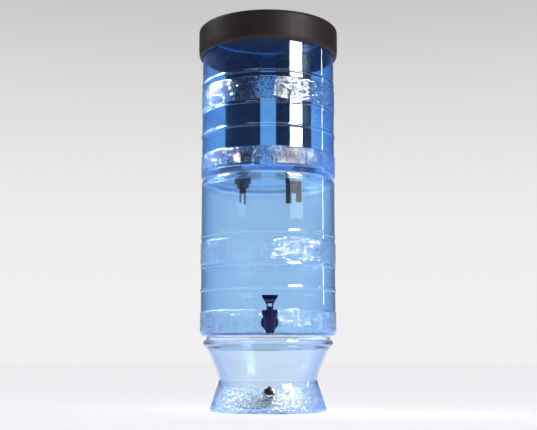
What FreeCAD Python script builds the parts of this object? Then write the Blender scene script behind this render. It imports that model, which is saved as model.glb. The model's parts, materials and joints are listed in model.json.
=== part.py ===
import FreeCAD, Part
import math
import os
import re
import Sketcher

# Gravity water filter with tap: two clear moulded chambers stacked on a lighted stand.
# Millimetres, +Z up, origin at the centre of the stand's foot, tap towards -Y.

doc = FreeCAD.newDocument("gravity_water_filter")
Vector = FreeCAD.Vector

SIZES = [
    ("stand_height", 128, "foot to the plane that the lower chamber sits at"),
    ("foot_radius", 100.5, "widest radius of the stand's foot"),
    ("foot_round", 4, "rounding of the foot's lower edge"),
    ("flare_low", 5.5, "height where the lower flare starts"),
    ("waist_low_radius", 87.9, "radius at the lower end of the waist"),
    ("waist_low", 42.5, "height of the lower end of the waist"),
    ("waist_high_radius", 86.9, "radius at the upper end of the waist"),
    ("waist_high", 64, "height of the upper end of the waist"),
    ("waist_sag", 2.2, "how far the waist is drawn in between its ends"),
    ("collar_inset", 3.9, "how far the collar under the lip lies inside the cup's radius"),
    ("collar_drop", 23.6, "collar below the plane that the lower chamber sits at"),
    ("lip_drop", 7, "top of the lip below that plane"),
    ("lip_edge", 3, "height of the lip's widest stretch"),
    ("lip_bevel", 4, "height of the lip's bevel above its widest stretch"),
    ("lip_flat", 2.8, "width of the lip's flat top"),
    ("lip_reach", 2, "how far the lip's widest stretch stands out beyond its flat top"),
    ("stand_wall", 3, "wall of the stand"),
    ("foot_flat", 1.2, "width of the foot's flat ring round the bottom cover"),
    ("cover_thick", 3, "thickness of the bottom cover"),
    ("cover_clear", 0.3, "radial gap round the bottom cover"),
    ("cover_shelf", 5, "width of the shelf that the cover screws to"),
    ("shelf_thick", 3, "thickness of that shelf"),
    ("post_radius", 4.5, "radius of a screw post"),
    ("post_height", 10, "height of a screw post above the cover"),
    ("post_inset", 6, "circle of posts inside the cover's edge"),
    ("cover_screw_count", 4, "number of screws that hold the cover"),
    ("screw_radius", 1.5, "screw shank"),
    ("screw_length", 8, "screw length under the head"),
    ("screw_head_radius", 3, "screw head"),
    ("screw_head_height", 1.6, "height of a screw head"),
    ("screw_head_sink", 0.2, "how far a screw head lies inside the cover's face"),
    ("screw_pilot_clear", 0.05, "gap round a screw in its pilot hole"),
    ("screw_hole_clear", 0.4, "gap round a screw in a plate"),
    ("chamber_pitch", 272, "height that one chamber adds to the stack"),
    ("wall_radius", 117.3, "outer radius of a chamber's plain wall"),
    ("wall", 3, "wall of a chamber"),
    ("seat_inset", 5, "how far a chamber's seat and its rim lie inside the plain wall"),
    ("corner_rise", 12, "height of the bottom corner's round"),
    ("band_proud", 1, "how far the pebbled bands stand out"),
    ("step_rise", 0.8, "height of the step at a band's edge"),
    ("low_band_top", 40.7, "top of the low pebbled band"),
    ("big_bead_height", 78, "centre of the big bead"),
    ("big_bead_half", 4.2, "half the width of the big bead"),
    ("big_bead_proud", 1.5, "how far the big bead stands out"),
    ("mid_bead_height", 116.6, "centre of the middle bead"),
    ("mid_bead_half", 3, "half the width of the middle bead"),
    ("mid_bead_proud", 0.9, "how far the middle bead stands out"),
    ("high_band_low", 122.3, "bottom of the high pebbled band"),
    ("high_band_top", 160, "top of the high pebbled band"),
    ("groove_width", 3.2, "width of the groove above the band"),
    ("groove_deep", 0.5, "depth of the groove in the plain wall"),
    ("top_bead_height", 171, "centre of the top bead"),
    ("top_bead_half", 3.5, "half the width of the top bead"),
    ("top_bead_proud", 1.1, "how far the top bead stands out"),
    ("swell_start", 18, "start of the swell below the rim"),
    ("swell_end", 8, "end of the swell below the rim, where the shoulder starts"),
    ("swell_proud", 0.5, "how far the swell stands out"),
    ("spigot_step", 5.1, "step between the seat and the spigot under it"),
    ("spigot_drop", 10, "depth of the spigot"),
    ("spigot_clear", 0.4, "radial gap round the spigot in the stand"),
    ("floor_lift", 6, "underside of the upper chamber's floor above its seat"),
    ("low_floor_lift", 1, "underside of the lower chamber's floor above its seat"),
    ("floor_thick", 3.5, "thickness of the floor"),
    ("floor_bend", 2.5, "radius of the round between floor and wall, inside"),
    ("pad_height", 20, "height of the round tap pad's centre above the seat"),
    ("pad_radius", 18, "radius of the tap pad"),
    ("pad_proud", 0.4, "how far the tap pad stands out of the pebbled band"),
    ("pad_back_clear", 0.1, "how far the flat behind the pad stands clear of the wall at the washer's edge"),
    ("pad_recess", 0.8, "depth of the pad's face inside its raised ring"),
    ("pad_ring", 1.6, "width of that ring"),
    ("lid_overhang", 7.1, "how far the lid stands out beyond the chambers' plain wall"),
    ("lid_wall", 3.5, "wall of the lid's skirt"),
    ("lid_top", 4, "thickness of the lid's top"),
    ("lid_round", 6, "rounding of the lid's top edge"),
    ("lid_drop", 48, "how far the skirt reaches below the chamber's rim"),
    ("lid_tuck", 13, "height over which the skirt draws in"),
    ("lid_lip_clear", 0.4, "radial gap between the skirt's lip and the swell"),
    ("lid_lip_wall", 2.2, "wall of the skirt's lip"),
    ("lid_dish", 1.2, "depth of the dish in the lid's top"),
    ("lid_rim", 10.4, "width of the flat rim round that dish"),
    ("stack_turn", 5.5, "how far the upper chamber stands turned, in degrees"),
    ("hole_spacing", 91, "distance between the two filter elements"),
    ("stem_radius", 6, "threaded stem of a filter element"),
    ("stem_clear", 0.5, "radial gap round the stem in the floor"),
    ("stem_drop", 26, "how far the stem reaches below the floor"),
    ("stem_bore", 2.6, "bore of the stem"),
    ("gasket_radius", 15, "sealing washer under a filter element"),
    ("gasket_thick", 3, "thickness of that washer"),
    ("element_radius", 31.5, "radius of the filter element"),
    ("element_length", 205, "length of the filter element's block"),
    ("element_bore", 9, "bore of the block"),
    ("base_cup_radius", 32.6, "radius of the element's base cup"),
    ("base_cup_height", 14, "height of the base cup"),
    ("base_cup_floor", 6, "thickness of the base cup under the block"),
    ("cup_clear", 0.1, "radial gap between the block and its cups"),
    ("cap_height", 12, "height of the cap on the element"),
    ("cap_top", 5, "thickness of the cap over the block"),
    ("nut_flange_radius", 14.8, "flange of a wing nut"),
    ("nut_flange_thick", 8, "thickness of that flange"),
    ("nut_hub_radius", 11, "hub of a wing nut"),
    ("nut_hub_drop", 8, "height of the hub under the flange"),
    ("nut_clear", 0.2, "radial gap in a nut's thread"),
    ("wing_thick", 2.5, "thickness of a wing"),
    ("wing_width", 10, "width of a wing"),
    ("wing_drop", 28, "how far a wing hangs under the hub"),
    ("wing_offset", 4, "how far a wing stands off the nut's axis"),
    ("shank_radius", 7.5, "threaded shank of the tap"),
    ("shank_length", 24, "length of the shank behind the tap's flange"),
    ("shank_bore", 4.2, "bore of the shank"),
    ("shank_clear", 0.5, "radial gap round the shank in the chamber"),
    ("tap_gasket_radius", 13.4, "radius of the tap's washers"),
    ("tap_gasket_thick", 2.4, "thickness of the tap's washers"),
    ("tap_flange_radius", 14, "flange of the tap"),
    ("tap_flange_thick", 3, "thickness of the flange"),
    ("tap_reach", 17, "distance from the flange's back to the spout's axis"),
    ("tap_neck_radius", 7.6, "radius between the flange and the body"),
    ("shank_nut_radius", 13, "corner radius of the shank's nut"),
    ("shank_nut_thick", 7, "thickness of the shank's nut"),
    ("spout_drop", 18, "how far the spout reaches below the shank's axis"),
    ("spout_radius", 6.9, "outer radius of the spout's mouth"),
    ("spout_bore", 4.8, "bore of the spout"),
    ("tap_seat_drop", 6.5, "how far the seat lies below the shank's axis"),
    ("tap_seat_radius", 9, "outer radius of the body at the seat"),
    ("tap_body_radius", 10.6, "outer radius of the body under the bonnet"),
    ("tap_cavity_radius", 7.4, "radius of the cavity above the seat"),
    ("tap_body_rise", 12, "top of the body above the shank's axis"),
    ("bonnet_drop", 4, "how far the bonnet reaches down over the body"),
    ("bonnet_thick", 5.5, "thickness of the bonnet over the body's seal"),
    ("bonnet_wall", 1.8, "wall of the bonnet's skirt"),
    ("bonnet_clear", 0.3, "radial gap between bonnet and body"),
    ("bonnet_seal", 1.5, "thickness of the seal under the bonnet"),
    ("bonnet_lug_radius", 13.2, "reach of the bonnet's lugs"),
    ("bonnet_lug_width", 8.5, "width of a lug"),
    ("bonnet_lugs", 5, "number of lugs"),
    ("bonnet_turn", 12, "how far the bonnet's first lug stands from the front"),
    ("plunger_radius", 2.9, "stem of the tap's plunger"),
    ("plunger_clear", 0.08, "running gap round the plunger"),
    ("seat_cup_radius", 6.6, "radius of the rubber seat cup"),
    ("seat_cup_height", 7, "height of the seat cup"),
    ("seat_gap", 0.3, "gap between the seat cup and the seat when shut"),
    ("plunger_lift", 4, "how far the plunger rises when the lever is down"),
    ("tongue_width", 5.6, "width of the plunger's tongue"),
    ("tongue_depth", 5.6, "depth of the tongue"),
    ("tongue_top", 2.5, "height of the tongue above the lever's pin"),
    ("pin_radius", 1.1, "pin of the lever"),
    ("pin_clear", 0.06, "running gap round the pin"),
    ("lever_gap", 0.3, "side gap between the plunger's stem and the lever's cheeks"),
    ("lever_width", 10.6, "width over the lever's two cheeks"),
    ("cam_radius", 5, "radius of the lever's cam"),
    ("cam_gap", 0.3, "gap between the cam and the bonnet when shut"),
    ("lever_depth", 4.6, "depth of the lever above its cam"),
    ("window_top", 7.4, "height of the lever's window above the pin"),
    ("lever_rise", 21, "height of the lever above its pin"),
    ("lever_top_width", 26.6, "width of the lever's paddle at the top"),
    ("lever_neck_width", 13, "width of the lever above its window"),
    ("lever_bar", 3.2, "height of the bar along the paddle's top"),
    ("lever_web", 2.6, "thickness of the paddle under its bar"),
    ("seat_sink", 0.5, "how far the switch's flat seat is sunk in the flare"),
    ("seat_margin", 0.6, "width of the flat seat round the bright ring"),
    ("switch_height", 36.6, "height where the switch's axis leaves the stand"),
    ("switch_radius", 6, "barrel of the switch"),
    ("switch_clear", 0.3, "radial gap round the barrel"),
    ("switch_depth", 22, "length of the barrel behind its seat"),
    ("switch_pad_radius", 10.5, "radius of the boss behind the switch's nut"),
    ("switch_pad_thick", 4, "thickness of the wall at the switch"),
    ("bezel_radius", 8.6, "bright ring of the switch"),
    ("bezel_thick", 2.6, "thickness of that ring"),
    ("switch_nut_radius", 9.5, "corner radius of the switch's nut"),
    ("switch_nut_thick", 3, "thickness of the switch's nut"),
    ("button_radius", 5.2, "barrel of the push button"),
    ("button_clear", 0.1, "running gap round the push button"),
    ("button_dome", 6.6, "radius of the button's domed head"),
    ("button_rise", 1.6, "gap under the button's head, its travel and a little more"),
    ("button_head", 6.8, "height of the button's head"),
    ("button_travel", 1.2, "travel of the push button"),
    ("button_shaft", 4, "length of the button's shaft in the switch"),
    ("case_radius", 42, "radius of the light's case"),
    ("case_height", 27, "height of the light's case"),
    ("case_wall", 2, "wall of the case"),
    ("case_floor", 4, "floor of the case"),
    ("case_ledge", 3, "width of the ledge that the light board lies on"),
    ("board_drop", 5, "top of the light board below the case's rim"),
    ("board_thick", 1.6, "thickness of the light board"),
    ("board_clear", 0.4, "radial gap round the light board"),
    ("cell_radius", 7.2, "radius of a battery cell"),
    ("cell_length", 49, "length of a battery cell"),
    ("cell_pitch", 16, "distance between the cells"),
    ("cell_clear", 0.2, "radial gap under a cell"),
    ("cell_tip_radius", 2.7, "radius of a cell's tip"),
    ("cell_tip_length", 1.2, "length of a cell's tip"),
    ("tray_height", 5, "height of the battery tray"),
    ("tray_length", 52, "length of the battery tray"),
    ("tray_width", 46, "width of the battery tray"),
    ("tray_floor", 1.5, "floor of the tray under a cell"),
    ("lamp_radius", 2.5, "radius of a lamp"),
    ("lamp_height", 3.2, "height of a lamp's straight part"),
    ("lamp_circle", 18, "radius of the circle of lamps"),
    ("lamps", 5, "number of lamps"),
    ("lens_height", 5, "height of the light's lens"),
    ("lens_flange", 1.8, "thickness of the lens"),
    ("lens_dome_radius", 33, "radius of the lens's raised middle"),
    ("case_screw_circle", 34, "radius of the circle of the case's screws"),
    ("case_screw_count", 3, "number of screws that hold the case"),
    ("case_screw_length", 4, "length of the case's screws under the head"),
    ("lead_radius", 1.3, "radius of the switch's lead"),
    ("lead_height", 10, "height where the lead enters the side of the light's case"),
]

sheet = doc.addObject("Spreadsheet::Sheet", "sizes")
for row, (alias, number, note) in enumerate(SIZES, 1):
    sheet.set(f"A{row}", alias)
    sheet.set(f"B{row}", str(number))
    sheet.setAlias(f"B{row}", alias)
    sheet.set(f"C{row}", note)
doc.recompute()
ALIASES = {alias for alias, number, note in SIZES}


def bound(text):
    """The expression with each alias written as a cell of the sheet."""
    return re.sub(r"[a-z][a-z_]*[a-z]", lambda m: "sizes." + m[0] if m[0] in ALIASES else m[0], str(text))


def value(text):
    """The expression's number, in millimetres or degrees."""
    found = sheet.evalExpression(bound(text))
    return float(getattr(found, "Value", found))


def place(piece, x="0", y="0", z="0", axis=Vector(0, 0, 1), angle="0"):
    """Puts a piece at x, y, z, turned about an axis."""
    piece.Placement = FreeCAD.Placement(Vector(), FreeCAD.Rotation(axis, value(angle)))
    for name, text in zip("xyz", (x, y, z)):
        piece.setExpression(f"Placement.Base.{name}", bound(text))


def new_body(label):
    body = doc.addObject("PartDesign::Body", label)
    body.Label = label
    return body


def plane_of(body, role):
    return next(item for item in body.Origin.OriginFeatures if item.Role == role)


def new_sketch(body, role, offset="0"):
    """A sketch on an origin plane of its body, moved along the plane's normal."""
    sketch = body.newObject("Sketcher::SketchObject", "sketch")
    sketch.AttachmentSupport = [(plane_of(body, role), "")]
    sketch.MapMode = "FlatFace"
    if offset != "0":
        sketch.setExpression("AttachmentOffset.Base.z", bound(offset))
    return sketch


def arc_between(start, end, radius, turn):
    """The short arc from start to end: turn 1 bends to the left, -1 to the right."""
    chord = end - start
    left = Vector(-chord.y, chord.x, 0).normalize()
    rise = math.sqrt(max(radius**2 - chord.Length**2 / 4, 0))
    centre = start + chord / 2 + left * rise * turn
    first, last = (start, end) if turn > 0 else (end, start)
    angles = [math.atan2(p.y - centre.y, p.x - centre.x) for p in (first, last)]
    if angles[1] < angles[0]:
        angles[1] += 2 * math.pi
    return Part.ArcOfCircle(Part.Circle(centre, Vector(0, 0, 1), radius), *angles)


def draw_outline(sketch, steps):
    """A closed outline. A step is a corner (x, y), reached by a line, or (x, y, radius, turn), by an arc."""
    corners = [Vector(value(step[0]), value(step[1]), 0) for step in steps]
    first_edge = sketch.GeometryCount
    ends = []
    for i, step in enumerate(steps):
        start, end = corners[i - 1], corners[i]
        if len(step) == 2:
            sketch.addGeometry(Part.LineSegment(start, end), False)
            ends.append((1, 2))
        else:
            sketch.addGeometry(arc_between(start, end, value(step[2]), step[3]), False)
            ends.append((1, 2) if step[3] > 0 else (2, 1))
    for i, step in enumerate(steps):
        edge, following = first_edge + i, first_edge + (i + 1) % len(steps)
        end = ends[i][1]
        sketch.addConstraint(
            Sketcher.Constraint("Coincident", edge, end, following, ends[(i + 1) % len(steps)][0])
        )
        for kind, axis, text, number in (
            ("DistanceX", -2, step[0], corners[i].x),
            ("DistanceY", -1, step[1], corners[i].y),
        ):
            if text == "0":
                sketch.addConstraint(Sketcher.Constraint("PointOnObject", edge, end, axis))
            else:
                at = sketch.addConstraint(Sketcher.Constraint(kind, -1, 1, edge, end, number))
                sketch.setExpression(f"Constraints[{at}]", bound(text))
        if len(step) > 2:
            at = sketch.addConstraint(Sketcher.Constraint("Radius", edge, value(step[2])))
            sketch.setExpression(f"Constraints[{at}]", bound(step[2]))


def draw_circle(sketch, x, y, radius):
    """A circle at x, y."""
    edge = sketch.addGeometry(
        Part.Circle(Vector(value(x), value(y), 0), Vector(0, 0, 1), value(radius)), False
    )
    for kind, axis, text in (("DistanceX", -2, x), ("DistanceY", -1, y)):
        if text == "0":
            sketch.addConstraint(Sketcher.Constraint("PointOnObject", edge, 3, axis))
        else:
            at = sketch.addConstraint(Sketcher.Constraint(kind, -1, 1, edge, 3, value(text)))
            sketch.setExpression(f"Constraints[{at}]", bound(text))
    at = sketch.addConstraint(Sketcher.Constraint("Radius", edge, value(radius)))
    sketch.setExpression(f"Constraints[{at}]", bound(radius))


def turned(label, steps):
    """A body of revolution about its own Z axis, from corners (radius, height)."""
    body = new_body(label)
    sketch = new_sketch(body, "XZ_Plane")
    draw_outline(sketch, steps)
    turning = body.newObject("PartDesign::Revolution", "turning")
    turning.Profile = sketch
    turning.ReferenceAxis = (sketch, ["V_Axis"])
    turning.Angle = 360
    sketch.Visibility = False
    return body


def grow(body, sketch, length, kind="Pad"):
    """Pads or pockets a sketch by a length."""
    feature = body.newObject(f"PartDesign::{kind}", kind.lower())
    feature.Profile = sketch
    feature.Type = "Length"
    feature.setExpression("Length", bound(length))
    return feature


def round_pad(body, role, offset, x, y, radius, length):
    sketch = new_sketch(body, role, offset)
    draw_circle(sketch, x, y, radius)
    return grow(body, sketch, length)


def round_pocket(body, role, offset, places, radius, length):
    """Round holes that start at the offset and run against the plane's normal."""
    doc.recompute()
    before = body.Shape.Volume
    sketch = new_sketch(body, role, offset)
    for x, y in places:
        draw_circle(sketch, x, y, radius)
    feature = grow(body, sketch, length, "Pocket")
    doc.recompute()
    if body.Shape.Volume > before - 0.1:
        raise ValueError(f"{body.Label}: the pocket cuts nothing")
    return feature


def around(feature, body, count):
    """Repeats a feature round the body's Z axis."""
    pattern = body.newObject("PartDesign::PolarPattern", "pattern")
    pattern.Originals = [feature]
    pattern.Axis = (plane_of(body, "Z_Axis"), [""])
    pattern.Angle = 360
    pattern.setExpression("Occurrences", bound(count))
    body.Tip = pattern
    return pattern


def quarter(start, end, count, first):
    """Steps of an outline round a quarter ellipse, which leaves its start outwards or upwards."""
    steps = []
    for i in range(1, count + 1):
        turn = math.pi / 2 * i / count
        quick, slow = round(math.sin(turn), 5), round(1 - math.cos(turn), 5)
        across, along = (quick, slow) if first == "outwards" else (slow, quick)
        steps.append((f"({start[0]}) + (({end[0]}) - ({start[0]})) * {across}",
                      f"({start[1]}) + (({end[1]}) - ({start[1]})) * {along}"))
    return steps


def bead(height, half, proud):
    """Steps of an outline up to a bead on the plain wall and over it."""
    return [
        ("wall_radius", f"{height} - {half}"),
        (f"wall_radius + {proud}", f"{height} - {half} * 0.35"),
        (f"wall_radius + {proud}", f"{height} + {half} * 0.35"),
        ("wall_radius", f"{height} + {half}"),
    ]


SEAT = "(wall_radius - seat_inset)"
SPIGOT = f"({SEAT} - spigot_step)"
CUP = f"({SPIGOT} + spigot_clear)"
SWELL_LOW = "(chamber_pitch - swell_start)"
SWELL_HIGH = "(chamber_pitch - swell_end)"
PAD_FACE = "(wall_radius + band_proud + pad_proud)"
PAD_BACK = "(sqrt((wall_radius - wall)^2 - tap_gasket_radius^2) - pad_back_clear)"


# Both chambers come from one mould: a spigot, two pebbled bands, three beads and a round pad for the tap
def chamber(label, lift):
    band = "wall_radius + band_proud"
    inside = "wall_radius - wall"
    floor_top = f"{lift} + floor_thick"
    steps = [
        (SPIGOT, "0 - spigot_drop"),
        (SPIGOT, "0"),
        (SEAT, "0"),
        *quarter((SEAT, "0"), (band, "corner_rise"), 4, "outwards"),
        (band, "low_band_top"),
        ("wall_radius", "low_band_top + step_rise"),
        *bead("big_bead_height", "big_bead_half", "big_bead_proud"),
        *bead("mid_bead_height", "mid_bead_half", "mid_bead_proud"),
        ("wall_radius", "high_band_low - step_rise"),
        (band, "high_band_low"),
        (band, "high_band_top"),
        ("wall_radius - groove_deep", "high_band_top + step_rise"),
        ("wall_radius", "high_band_top + groove_width"),
        *bead("top_bead_height", "top_bead_half", "top_bead_proud"),
        ("wall_radius", SWELL_LOW),
        ("wall_radius + swell_proud", SWELL_HIGH),
        *quarter(("wall_radius + swell_proud", SWELL_HIGH), (SEAT, "chamber_pitch"), 3, "upwards"),
        (f"{SEAT} - wall", "chamber_pitch"),
        *quarter((f"{SEAT} - wall", "chamber_pitch"), (inside, SWELL_LOW), 2, "outwards"),
        (inside, f"{floor_top} + floor_bend"),
        *quarter((inside, f"{floor_top} + floor_bend"), (f"{inside} - floor_bend", floor_top), 2, "upwards"),
        ("0", floor_top),
        ("0", lift),
        (f"{SPIGOT} - wall", lift),
        (f"{SPIGOT} - wall", "0 - spigot_drop"),
    ]
    body = turned(label, steps)
    round_pad(body, "XZ_Plane", PAD_BACK, "0", "pad_height", "pad_radius", f"{PAD_FACE} - {PAD_BACK}")
    round_pocket(body, "XZ_Plane", PAD_FACE, [("0", "pad_height")], "pad_radius - pad_ring", "pad_recess")
    return body


CHAMBER_Z = "stand_height + chamber_pitch"
upper = chamber("upper_chamber", "floor_lift")
round_pocket(
    upper, "XY_Plane", "floor_lift + floor_thick + 1",
    [("hole_spacing / 2", "0"), ("0 - hole_spacing / 2", "0")],
    "stem_radius + stem_clear", "floor_thick + 2",
)
place(upper, z=CHAMBER_Z, angle="0 - stack_turn")

lower = chamber("lower_chamber", "low_floor_lift")
round_pocket(
    lower, "XZ_Plane", PAD_FACE, [("0", "pad_height")], "shank_radius + shank_clear", "2 * wall + 4"
)
place(lower, z="stand_height")

# The lid drops over the upper chamber's shoulder and rests on its rim
LID = "(wall_radius + lid_overhang)"
LIP_INSIDE = "(wall_radius + swell_proud + lid_lip_clear)"
lip_outside = (f"{LIP_INSIDE} + lid_lip_wall", "0 - lid_drop")
skirt_low = (LID, "lid_tuck - lid_drop")
skirt_high = (LID, "lid_top - lid_round")
lid = turned("lid", [
    (LIP_INSIDE, "0 - lid_drop"),
    lip_outside,
    *quarter(lip_outside, skirt_low, 3, "outwards"),
    skirt_high,
    *quarter(skirt_high, (f"{LID} - lid_round", "lid_top"), 3, "upwards"),
    (f"{LID} - lid_round - lid_rim", "lid_top"),
    (f"{LID} - lid_round - lid_rim - lid_dish", "lid_top - lid_dish"),
    ("0", "lid_top - lid_dish"),
    ("0", "0"),
    (f"{LID} - lid_wall", "0"),
    (f"{LID} - lid_wall", "lid_tuck - lid_drop"),
])
place(lid, z="stand_height + 2 * chamber_pitch")

# The stand is an hourglass shell with a lip that takes the lower chamber's spigot
def waist(inset):
    """Steps of an outline round the waist, from its lower end up, set in from the outside."""
    steps = []
    for i in (1, 2, 3):
        share = i / 4
        bow = 4 * share * (1 - share)
        radius = f"waist_low_radius + (waist_high_radius - waist_low_radius) * {share} - waist_sag * {bow}"
        steps.append((f"{radius} - {inset}", f"waist_low + (waist_high - waist_low) * {share}"))
    return steps


COVER_HOLE = "(foot_radius - foot_round - foot_flat)"
COVER = f"({COVER_HOLE} - cover_clear)"
POST_CIRCLE = f"({COVER} - post_inset)"
COLLAR = f"({CUP} - collar_inset)"
COLLAR_Z = "(stand_height - collar_drop)"
LIP_TOP = "(stand_height - lip_drop)"
LIP_HIGH = f"({LIP_TOP} - lip_bevel)"
lip_top_radius = f"{CUP} + lip_flat"
lip_radius = f"{lip_top_radius} + lip_reach"
LEDGE_Z = "(stand_height - spigot_drop)"
stand = turned("stand_shell", [
    (COVER_HOLE, "0"),
    ("foot_radius - foot_round", "0"),
    *quarter(("foot_radius - foot_round", "0"), ("foot_radius", "flare_low"), 3, "outwards"),
    ("waist_low_radius", "waist_low"),
    *waist("0"),
    ("waist_high_radius", "waist_high"),
    (COLLAR, COLLAR_Z),
    (lip_radius, f"{LIP_HIGH} - lip_edge"),
    (lip_radius, LIP_HIGH),
    (f"{lip_top_radius} + lip_reach / 2", f"{LIP_TOP} - lip_bevel / 3"),
    (lip_top_radius, LIP_TOP),
    (CUP, LIP_TOP),
    (CUP, LEDGE_Z),
    (f"{COLLAR} - stand_wall", LEDGE_Z),
    (f"{COLLAR} - stand_wall", COLLAR_Z),
    ("waist_high_radius - stand_wall", "waist_high"),
    *reversed(waist("stand_wall")),
    ("waist_low_radius - stand_wall", "waist_low"),
    ("foot_radius - stand_wall", "cover_thick + shelf_thick + 2"),
    (f"{COVER} - cover_shelf", "cover_thick + shelf_thick"),
    (f"{COVER} - cover_shelf", "cover_thick"),
    (COVER_HOLE, "cover_thick"),
])
post = round_pad(stand, "XY_Plane", "cover_thick", POST_CIRCLE, "0", "post_radius", "post_height")
doc.recompute()
pilot_sketch = new_sketch(stand, "XY_Plane", "cover_thick + screw_length - 1")
draw_circle(pilot_sketch, POST_CIRCLE, "0", "screw_radius + screw_pilot_clear")
pilot = grow(stand, pilot_sketch, "screw_length - 1", "Pocket")
pattern = stand.newObject("PartDesign::PolarPattern", "posts")
pattern.Originals = [post, pilot]
pattern.Axis = (plane_of(stand, "Z_Axis"), [""])
pattern.Angle = 360
pattern.setExpression("Occurrences", bound("cover_screw_count"))
stand.Tip = pattern

# The switch's axis leaves the lower flare square to it, outwards and a little up
flare_tilt = value("atan((foot_radius - waist_low_radius) / (waist_low - flare_low))")
switch_tilt = 90 - flare_tilt
slope = math.tan(math.radians(flare_tilt))
seat_point = Vector(0, -(value("foot_radius") - (value("switch_height") - value("flare_low")) * slope),
                    value("switch_height"))
switch_axis = Vector(0, -math.cos(math.radians(flare_tilt)), math.sin(math.radians(flare_tilt)))
seat_point -= switch_axis * value("seat_sink")
switch_rotation = FreeCAD.Rotation(Vector(1, 0, 0), switch_tilt)
switch_frame = FreeCAD.Placement(seat_point, switch_rotation)


def along_switch(piece):
    """Puts a piece that is built about Z on the switch's axis, its zero at the seat."""
    piece.Placement = switch_frame


def rod(radius, low, high, placement=FreeCAD.Placement()):
    """A plain cylinder about Z between two heights, as a shape."""
    shape = Part.makeCylinder(radius, high - low, Vector(0, 0, low))
    shape.Placement = placement
    return shape


# The shell at the switch: a flat outer seat, a boss with a flat back and a hole
boss = rod(value("switch_pad_radius"), -value("switch_pad_thick"), -1, switch_frame)
seat_cut = rod(value("bezel_radius + seat_margin"), 0, 6, switch_frame)
hole_cut = rod(value("switch_radius + switch_clear"), -12, 6, switch_frame)
doc.recompute()
shell_shape = stand.Shape.fuse(boss).cut(seat_cut).cut(hole_cut).removeSplitter()
stand.Label = "stand_shell_turned"
shell = doc.addObject("Part::Feature", "stand_shell_finished")
shell.Label = "stand_shell"
shell.Shape = shell_shape

# The cover closes the stand from below, flush with the foot
cover = turned("bottom_cover", [
    (COVER, "0"),
    (COVER, "cover_thick"),
    ("0", "cover_thick"),
    ("0", "0"),
])
plate_hole = "screw_radius + screw_hole_clear"
head_hole = "screw_head_radius + screw_hole_clear"
head_deep = "screw_head_height + screw_head_sink"
for place_x, count in ((POST_CIRCLE, "cover_screw_count"), ("case_screw_circle", "case_screw_count")):
    doc.recompute()
    head_sketch = new_sketch(cover, "XY_Plane", head_deep)
    draw_circle(head_sketch, place_x, "0", head_hole)
    head = grow(cover, head_sketch, head_deep, "Pocket")
    shank_sketch = new_sketch(cover, "XY_Plane", "cover_thick")
    draw_circle(shank_sketch, place_x, "0", plate_hole)
    shank = grow(cover, shank_sketch, "cover_thick", "Pocket")
    pattern = cover.newObject("PartDesign::PolarPattern", "holes")
    pattern.Originals = [head, shank]
    pattern.Axis = (plane_of(cover, "Z_Axis"), [""])
    pattern.Angle = 360
    pattern.setExpression("Occurrences", bound(count))
    cover.Tip = pattern


def screw_ring(label, circle, count, length):
    """A ring of pan-head screws, driven upwards from under the cover, as one group."""
    head_top = value(head_deep)
    shapes = []
    for i in range(int(value(count))):
        turn = FreeCAD.Rotation(Vector(0, 0, 1), 360 * i / value(count))
        centre = turn.multVec(Vector(value(circle), 0, 0))
        head = Part.makeCylinder(value("screw_head_radius"), value("screw_head_height"),
                                 centre + Vector(0, 0, head_top - value("screw_head_height")))
        stem = Part.makeCylinder(value("screw_radius"), value(length), centre + Vector(0, 0, head_top))
        shapes.append(head.fuse(stem).removeSplitter())
    group = doc.addObject("Part::Feature", label)
    group.Label = label
    group.Shape = Part.makeCompound(shapes)
    return group


screw_ring("cover_screws", POST_CIRCLE, "cover_screw_count", "screw_length")
screw_ring("light_case_screws", "case_screw_circle", "case_screw_count", "case_screw_length")

# The light under the lower chamber: a case with cells, a board with lamps and a lens
case = turned("light_case", [
    ("0", "0"),
    ("case_radius", "0"),
    ("case_radius", "case_height"),
    ("case_radius - case_wall", "case_height"),
    ("case_radius - case_wall", "case_height - board_drop - board_thick"),
    ("case_radius - case_wall - case_ledge", "case_height - board_drop - board_thick"),
    ("case_radius - case_wall - case_ledge", "case_height - board_drop - board_thick - 2"),
    ("case_radius - case_wall", "case_height - board_drop - board_thick - 5"),
    ("case_radius - case_wall", "case_floor"),
    ("0", "case_floor"),
])
doc.recompute()
blind_sketch = new_sketch(case, "XY_Plane", "case_floor - 1")
draw_circle(blind_sketch, "case_screw_circle", "0", "screw_radius + screw_pilot_clear")
blind = grow(case, blind_sketch, "case_floor - 1", "Pocket")
around(blind, case, "case_screw_count")
place(case, z="cover_thick")

tray_box = doc.addObject("Part::Box", "tray_box")
for name, text in (("Length", "tray_length"), ("Width", "tray_width"), ("Height", "tray_height")):
    tray_box.setExpression(name, bound(text))
place(tray_box, "0 - tray_length / 2", "0 - tray_width / 2", "cover_thick + case_floor")
CELL_Z = "cover_thick + case_floor + tray_floor + cell_clear + cell_radius"
troughs = []
cells = []
for i in (-1, 0, 1):
    trough = doc.addObject("Part::Cylinder", f"trough_{i + 2}")
    trough.setExpression("Radius", bound("cell_radius + cell_clear"))
    trough.setExpression("Height", bound("tray_length + 4"))
    place(trough, "0 - tray_length / 2 - 2", f"{i} * cell_pitch", CELL_Z, Vector(0, 1, 0), "90")
    troughs.append(trough)
    cell = Part.makeCylinder(value("cell_radius"), value("cell_length"),
                             Vector(-value("cell_length") / 2, i * value("cell_pitch"), value(CELL_Z)),
                             Vector(1, 0, 0))
    tip = Part.makeCylinder(value("cell_tip_radius"), value("cell_tip_length"),
                            Vector(value("cell_length") / 2, i * value("cell_pitch"), value(CELL_Z)),
                            Vector(1, 0, 0))
    cells.append(cell.fuse(tip))
tray_cutter = doc.addObject("Part::MultiFuse", "tray_cutter")
tray_cutter.Shapes = troughs
tray = doc.addObject("Part::Cut", "battery_tray")
tray.Label = "battery_tray"
tray.Base = tray_box
tray.Tool = tray_cutter
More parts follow.
